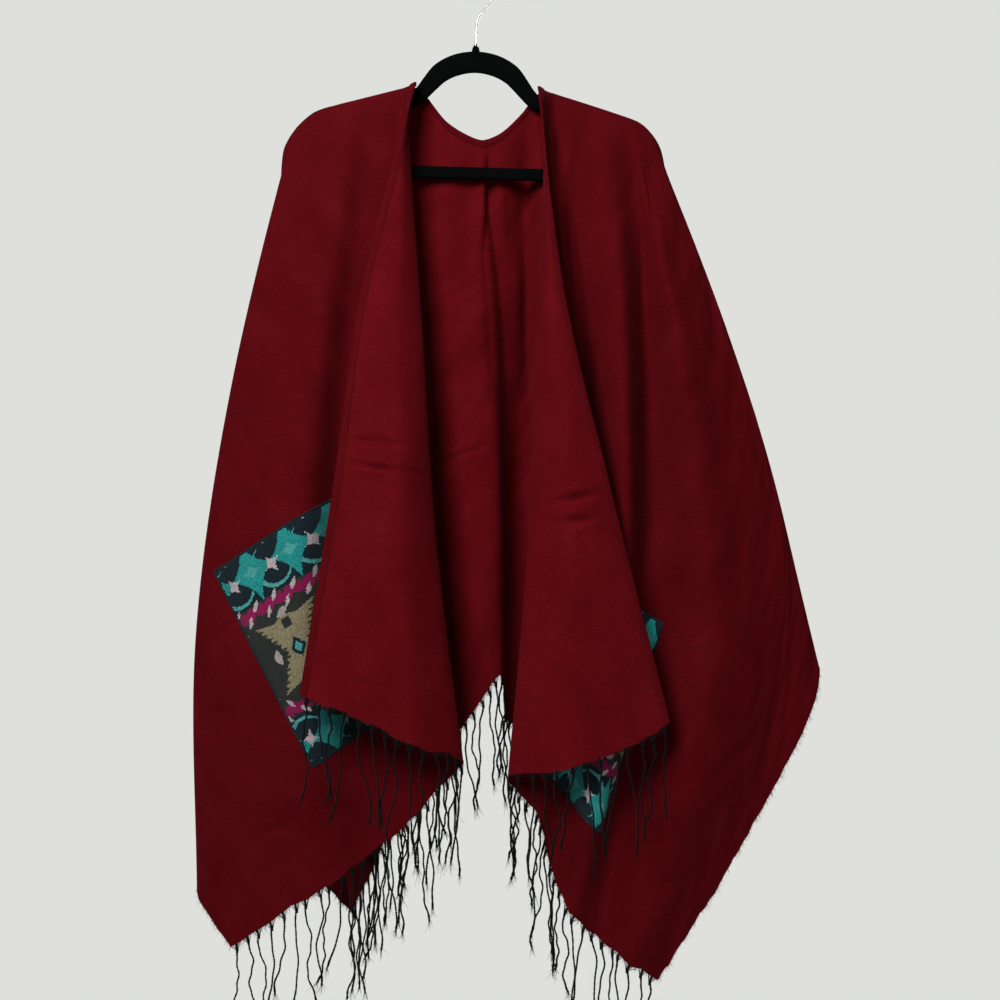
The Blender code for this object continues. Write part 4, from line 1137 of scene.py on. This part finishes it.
class Nodes:
    """Adds shader nodes to one tree. Values are constants, or sockets that are linked."""

    def __init__(self, tree):
        self.tree = tree

    def fill(self, made, inputs):
        for name, value in inputs.items():
            if isinstance(value, bpy.types.NodeSocket):
                self.tree.links.new(value, made.inputs[name])
            else:
                made.inputs[name].default_value = value

    def add(self, kind, inputs=None, **settings):
        made = self.tree.nodes.new("ShaderNode" + kind)
        for name, value in settings.items():
            setattr(made, name, value)
        self.fill(made, inputs or {})
        return made.outputs

    def uv(self):
        return self.add("UVMap", uv_map="cloth")["UV"]

    def place(self):
        return self.add("TexCoord")["Object"]

    def maths(self, operation, *values):
        return self.add("Math", dict(enumerate(values)), operation=operation)[0]

    def scaled(self, vector, scale):
        return self.add("Mapping", {"Vector": vector, "Scale": scale})[0]

    def noise(self, vector, scale, detail, rough, stretch=(1.0, 1.0, 1.0)):
        moved = self.scaled(vector, [scale * k for k in stretch])
        inputs = {"Vector": moved, "Scale": 1.0, "Detail": detail, "Roughness": rough}
        return self.add("TexNoise", inputs)["Fac"]

    def wave(self, vector, scale, distortion, direction):
        moved = self.scaled(vector, scale)
        inputs = {"Vector": moved, "Scale": 1.0, "Distortion": distortion, "Detail": 1.0}
        return self.add("TexWave", inputs, bands_direction=direction)["Fac"]

    def ramp(self, factor, stops):
        made = self.add("ValToRGB", {"Fac": factor})["Color"]
        elements = made.node.color_ramp.elements
        for element, (position, colour) in zip(elements, (stops[0], stops[-1])):
            element.position = position
            element.color = (*colour, 1.0)
        for position, colour in stops[1:-1]:
            elements.new(position).color = (*colour, 1.0)
        return made

    def tint(self, colour, share, factor, stops):
        """Colour multiplied by a ramp, which share of it shows."""
        inputs = {0: share, 6: colour, 7: self.ramp(factor, stops)}
        return self.add("Mix", inputs, data_type="RGBA", blend_type="MULTIPLY")[2]

    def spread(self, value, low, high):
        return self.add("MapRange", {"Value": value, "To Min": low, "To Max": high})["Result"]

    def bumps(self, *steps):
        """Normal from heights, each with its strength and distance, one on another."""
        below = {}
        for height, strength, distance in steps:
            below = {"Normal": self.add("Bump", {
                "Height": height, "Strength": strength, "Distance": distance, **below})["Normal"]}
        return below["Normal"]


def start_material(name):
    made = bpy.data.materials.new(name)
    made.use_nodes = True
    return made, Nodes(made.node_tree), made.node_tree.nodes["Principled BSDF"]


def grey(value):
    return (value, value, value)


# Tones of the cloth's mottling: place on the ramp, colour
BURGUNDY = (
    (0.30, (0.094, 0.0021, 0.0042)), (0.55, (0.114, 0.0030, 0.0058)), (0.75, (0.133, 0.0043, 0.0077)),
)
# Colours of the threads, dark and light, and their grain's scale
THREADS = {
    "burgundy_thread": ((0.045, 0.003, 0.005), (0.120, 0.010, 0.014), 900.0),
    "black_yarn": ((0.0009, 0.0008, 0.0011), (0.0050, 0.0042, 0.0050), 700.0),
    "navy_thread": ((0.006, 0.012, 0.015), (0.022, 0.034, 0.040), 900.0),
}


def cloth_material(name, lift):
    """Brushed burgundy twill: soft nap with a grain down the cloth and faint mottling.

    lift scales its colour: the inner face of the cloth is brushed longer and looks lighter.
    """
    made, nodes, shader = start_material(name)
    uv = nodes.uv()
    mottle = nodes.noise(uv, 16.0, 4.0, 0.6, (1.0, 0.6, 1.0))
    nap = nodes.noise(uv, 1500.0, 3.0, 0.7, (1.0, 0.22, 1.0))
    clumps = nodes.noise(uv, 320.0, 2.0, 0.6, (1.0, 0.45, 1.0))
    streak = nodes.noise(uv, 420.0, 1.0, 0.5, (0.05, 1.0, 1.0))
    toned = nodes.ramp(mottle, [(at, [lift * c for c in tone]) for at, tone in BURGUNDY])
    for share, pattern, stops in (
        (0.75, nap, ((0.32, (0.56, 0.50, 0.50)), (0.52, grey(1.0)), (0.72, (1.40, 1.90, 1.80)))),
        (0.6, clumps, ((0.35, (0.86, 0.82, 0.82)), (0.60, (1.10, 1.14, 1.14)))),
        (0.7, streak, ((0.35, (0.93, 0.92, 0.92)), (0.65, (1.07, 1.08, 1.08)))),
    ):
        toned = nodes.tint(toned, share, pattern, stops)
    twill = nodes.wave(uv, (420.0, 420.0, 1.0), 1.5, "DIAGONAL")
    nodes.fill(shader, {
        "Base Color": toned, "Roughness": nodes.spread(clumps, 0.82, 0.98), "Specular IOR Level": 0.04,
        "Sheen Weight": 0.10, "Sheen Roughness": 0.40, "Sheen Tint": (0.80, 0.12, 0.16, 1.0),
        "Normal": nodes.bumps((twill, 0.25, 0.00035), (clumps, 0.35, 0.0008), (nap, 0.45, 0.0005),
                              (mottle, 0.30, 0.0020)),
    })
    return made


def thread_material(name):
    """Yarn of one colour family with fine fibres."""
    dark, light, scale = THREADS[name]
    made, nodes, shader = start_material(name)
    grain = nodes.noise(nodes.place(), scale, 3.0, 0.6)
    nodes.fill(shader, {
        "Base Color": nodes.ramp(grain, ((0.30, dark), (0.70, light))),
        "Roughness": nodes.spread(grain, 0.70, 0.95), "Specular IOR Level": 0.12, "Sheen Weight": 0.04,
        "Normal": nodes.bumps((grain, 0.4, 0.0003)),
    })
    return made


def woven_material():
    """Jacquard: the colours of the pattern, ribbed by weft and warp, with fuzzy lighter fibres."""
    made, nodes, shader = start_material("woven_jacquard")
    uv = nodes.uv()
    colour = nodes.add("Attribute", attribute_name="weave")["Color"]
    weft = nodes.wave(uv, (1.0, 143.0, 1.0), 0.6, "Y")
    warp = nodes.wave(uv, (143.0, 1.0, 1.0), 0.6, "X")
    knit = nodes.maths("MULTIPLY", weft, warp)
    fuzz = nodes.noise(uv, 1400.0, 3.0, 0.7)
    specks = ((0.30, grey(0.50)), (0.52, grey(1.0)), (0.75, (1.55, 1.50, 1.50)))
    toned = nodes.tint(colour, 0.8, fuzz, specks)
    nodes.fill(shader, {
        "Base Color": nodes.tint(toned, 0.7, knit, ((0.0, grey(0.62)), (0.6, grey(1.08)))),
        "Roughness": nodes.spread(fuzz, 0.80, 0.98), "Specular IOR Level": 0.15, "Sheen Weight": 0.12,
        "Normal": nodes.bumps((knit, 0.6, 0.0007), (fuzz, 0.4, 0.0004)),
    })
    return made


def velvet_material():
    """Flocked black: dense short fibres that catch a grey sheen at the edges."""
    made, nodes, shader = start_material("flocked_black")
    where = nodes.place()
    flock = nodes.noise(where, 2600.0, 2.0, 0.6)
    patch = nodes.noise(where, 90.0, 3.0, 0.6)
    tone = nodes.ramp(flock, ((0.35, (0.0007, 0.0009, 0.0010)), (0.70, (0.0028, 0.0032, 0.0034))))
    nodes.fill(shader, {
        "Base Color": nodes.tint(tone, 0.8, patch, ((0.40, grey(0.8)), (0.70, (1.5, 1.5, 1.55)))),
        "Roughness": nodes.spread(patch, 0.80, 1.0), "Specular IOR Level": 0.05,
        "Sheen Weight": 0.05, "Sheen Roughness": 0.35, "Sheen Tint": (0.35, 0.38, 0.40, 1.0),
        "Normal": nodes.bumps((flock, 0.5, 0.0004)),
    })
    return made


def chrome_material():
    """Plated wire, bright with fine drawn scratches and a few dull spots."""
    made, nodes, shader = start_material("plated_chrome")
    where = nodes.place()
    scratch = nodes.noise(where, 1200.0, 2.0, 0.6, (1.0, 1.0, 0.05))
    spots = nodes.noise(where, 160.0, 3.0, 0.6)
    dull = nodes.maths("MULTIPLY_ADD", spots, 0.16, nodes.maths("MULTIPLY", scratch, 0.18))
    nodes.fill(shader, {
        "Base Color": nodes.ramp(spots, ((0.35, (0.62, 0.63, 0.65)), (0.65, (0.82, 0.82, 0.84)))),
        "Roughness": dull, "Metallic": 1.0, "Normal": nodes.bumps((scratch, 0.15, 0.00005)),
    })
    return made


def floor_material():
    made, nodes, shader = start_material("pale_floor")
    blotches = nodes.noise(nodes.place(), 3.0, 3.0, 0.5)
    tone = nodes.ramp(blotches, ((0.3, (0.60, 0.61, 0.60)), (0.7, (0.66, 0.67, 0.66))))
    nodes.fill(shader, {"Base Color": tone, "Roughness": 0.7})
    return made


# -------- stage


def floor():
    mesh = bpy.data.meshes.new("floor")
    bm = bmesh.new()
    bmesh.ops.create_circle(bm, cap_ends=True, segments=96, radius=FLOOR_RADIUS)
    bm.to_mesh(mesh)
    bm.free()
    mesh.materials.append(floor_material())
    made = add_object("floor", mesh)
    made.location = (0.0, 0.0, FLOOR_Z)


def room():
    """A pale backdrop for the camera, and a dim room that lights the object."""
    world = bpy.data.worlds.new("studio")
    bpy.context.scene.world = world
    world.use_nodes = True
    nodes = Nodes(world.node_tree)
    shown = world.node_tree.nodes["Background"]
    nodes.fill(shown, {"Color": BACKDROP})
    way = nodes.add("TexCoord")["Generated"]
    share = nodes.maths("MULTIPLY_ADD", nodes.add("SeparateXYZ", {"Vector": way})["Z"], 0.5, 0.5)
    light = nodes.ramp(share, [(at, grey(value)) for at, value in ROOM])
    lit = nodes.add("Background", {"Color": light, "Strength": 1.0})[0]
    seen = nodes.add("LightPath")["Is Camera Ray"]
    both = nodes.add("MixShader", {0: seen, 1: lit, 2: shown.outputs[0]})[0]
    nodes.fill(world.node_tree.nodes["World Output"], {"Surface": both})


def stage():
    floor()
    room()
    for name, place, aim, size, power in LIGHTS:
        data = bpy.data.lights.new(name, "AREA")
        data.size = size
        data.energy = power
        lamp = add_object(name, data)
        lamp.location = place
        lamp.rotation_euler = (Vector(aim) - Vector(place)).to_track_quat("-Z", "Y").to_euler()

    data = bpy.data.cameras.new("camera")
    data.lens = CAMERA_LENS
    data.sensor_width = 36.0
    data.clip_start = 0.05
    camera = add_object("camera", data)
    camera.location = CAMERA_PLACE
    camera.rotation_euler = (math.pi / 2, 0.0, 0.0)
    bpy.context.scene.camera = camera
    bpy.context.scene.view_settings.view_transform = "Standard"


# -------- main


def main():
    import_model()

    cloth = cloth_material("brushed_burgundy", 1.0)
    reverse = cloth_material("brushed_burgundy_reverse", 1.25)
    burgundy_thread, black_yarn, navy_thread = (thread_material(name) for name in THREADS)
    woven = woven_material()

    made = stretches()
    for seed, stretch in enumerate(made.values()):
        lay_creases(stretch, CREASE_SEED + 10 * seed)
        wave_edge(stretch, EDGE_SEED + 10 * seed)
        stretch.refresh()
    # The cloth's shading runs on from each front to the back
    back = made["back"]
    for front, column in (("front_left", 0), ("front_right", -1)):
        mean = unit(made[front].normals[:, -1] + back.normals[:, column])
        back.normals[:, column] = mean
        made[front].normals[:, -1] = mean
    for stretch in made.values():
        stretch.normals[0, np.abs(stretch.grid[0, :, 1]) < ON_ARM] = (0.0, 0.0, 1.0)
    shells = {name: shell(stretch, cloth, reverse) for name, stretch in made.items()}

    trims = {name: front_trims(made[name], cloth, burgundy_thread) for name in FRONTS}
    trims["back"] = [neckline_hem(back, cloth)]
    for seed, (name, stretch) in enumerate(made.items()):
        trims[name].append(fringe(stretch, black_yarn, FRINGE_SEED + 10 * seed))
        trims[name].append(edge_fuzz(stretch, burgundy_thread, seed))

    # Each pocket's colours carry painted light: the right one's are lifted against the lapel's shadow on
    # it
    for side, (corners, shift, painted_light_lift) in POCKETS.items():
        pocket("pocket_" + side, corners, made["front_" + side], woven, navy_thread, shift, painted_light_lift)
    hanger(velvet_material())
    hook(chrome_material())
    stage()


main()
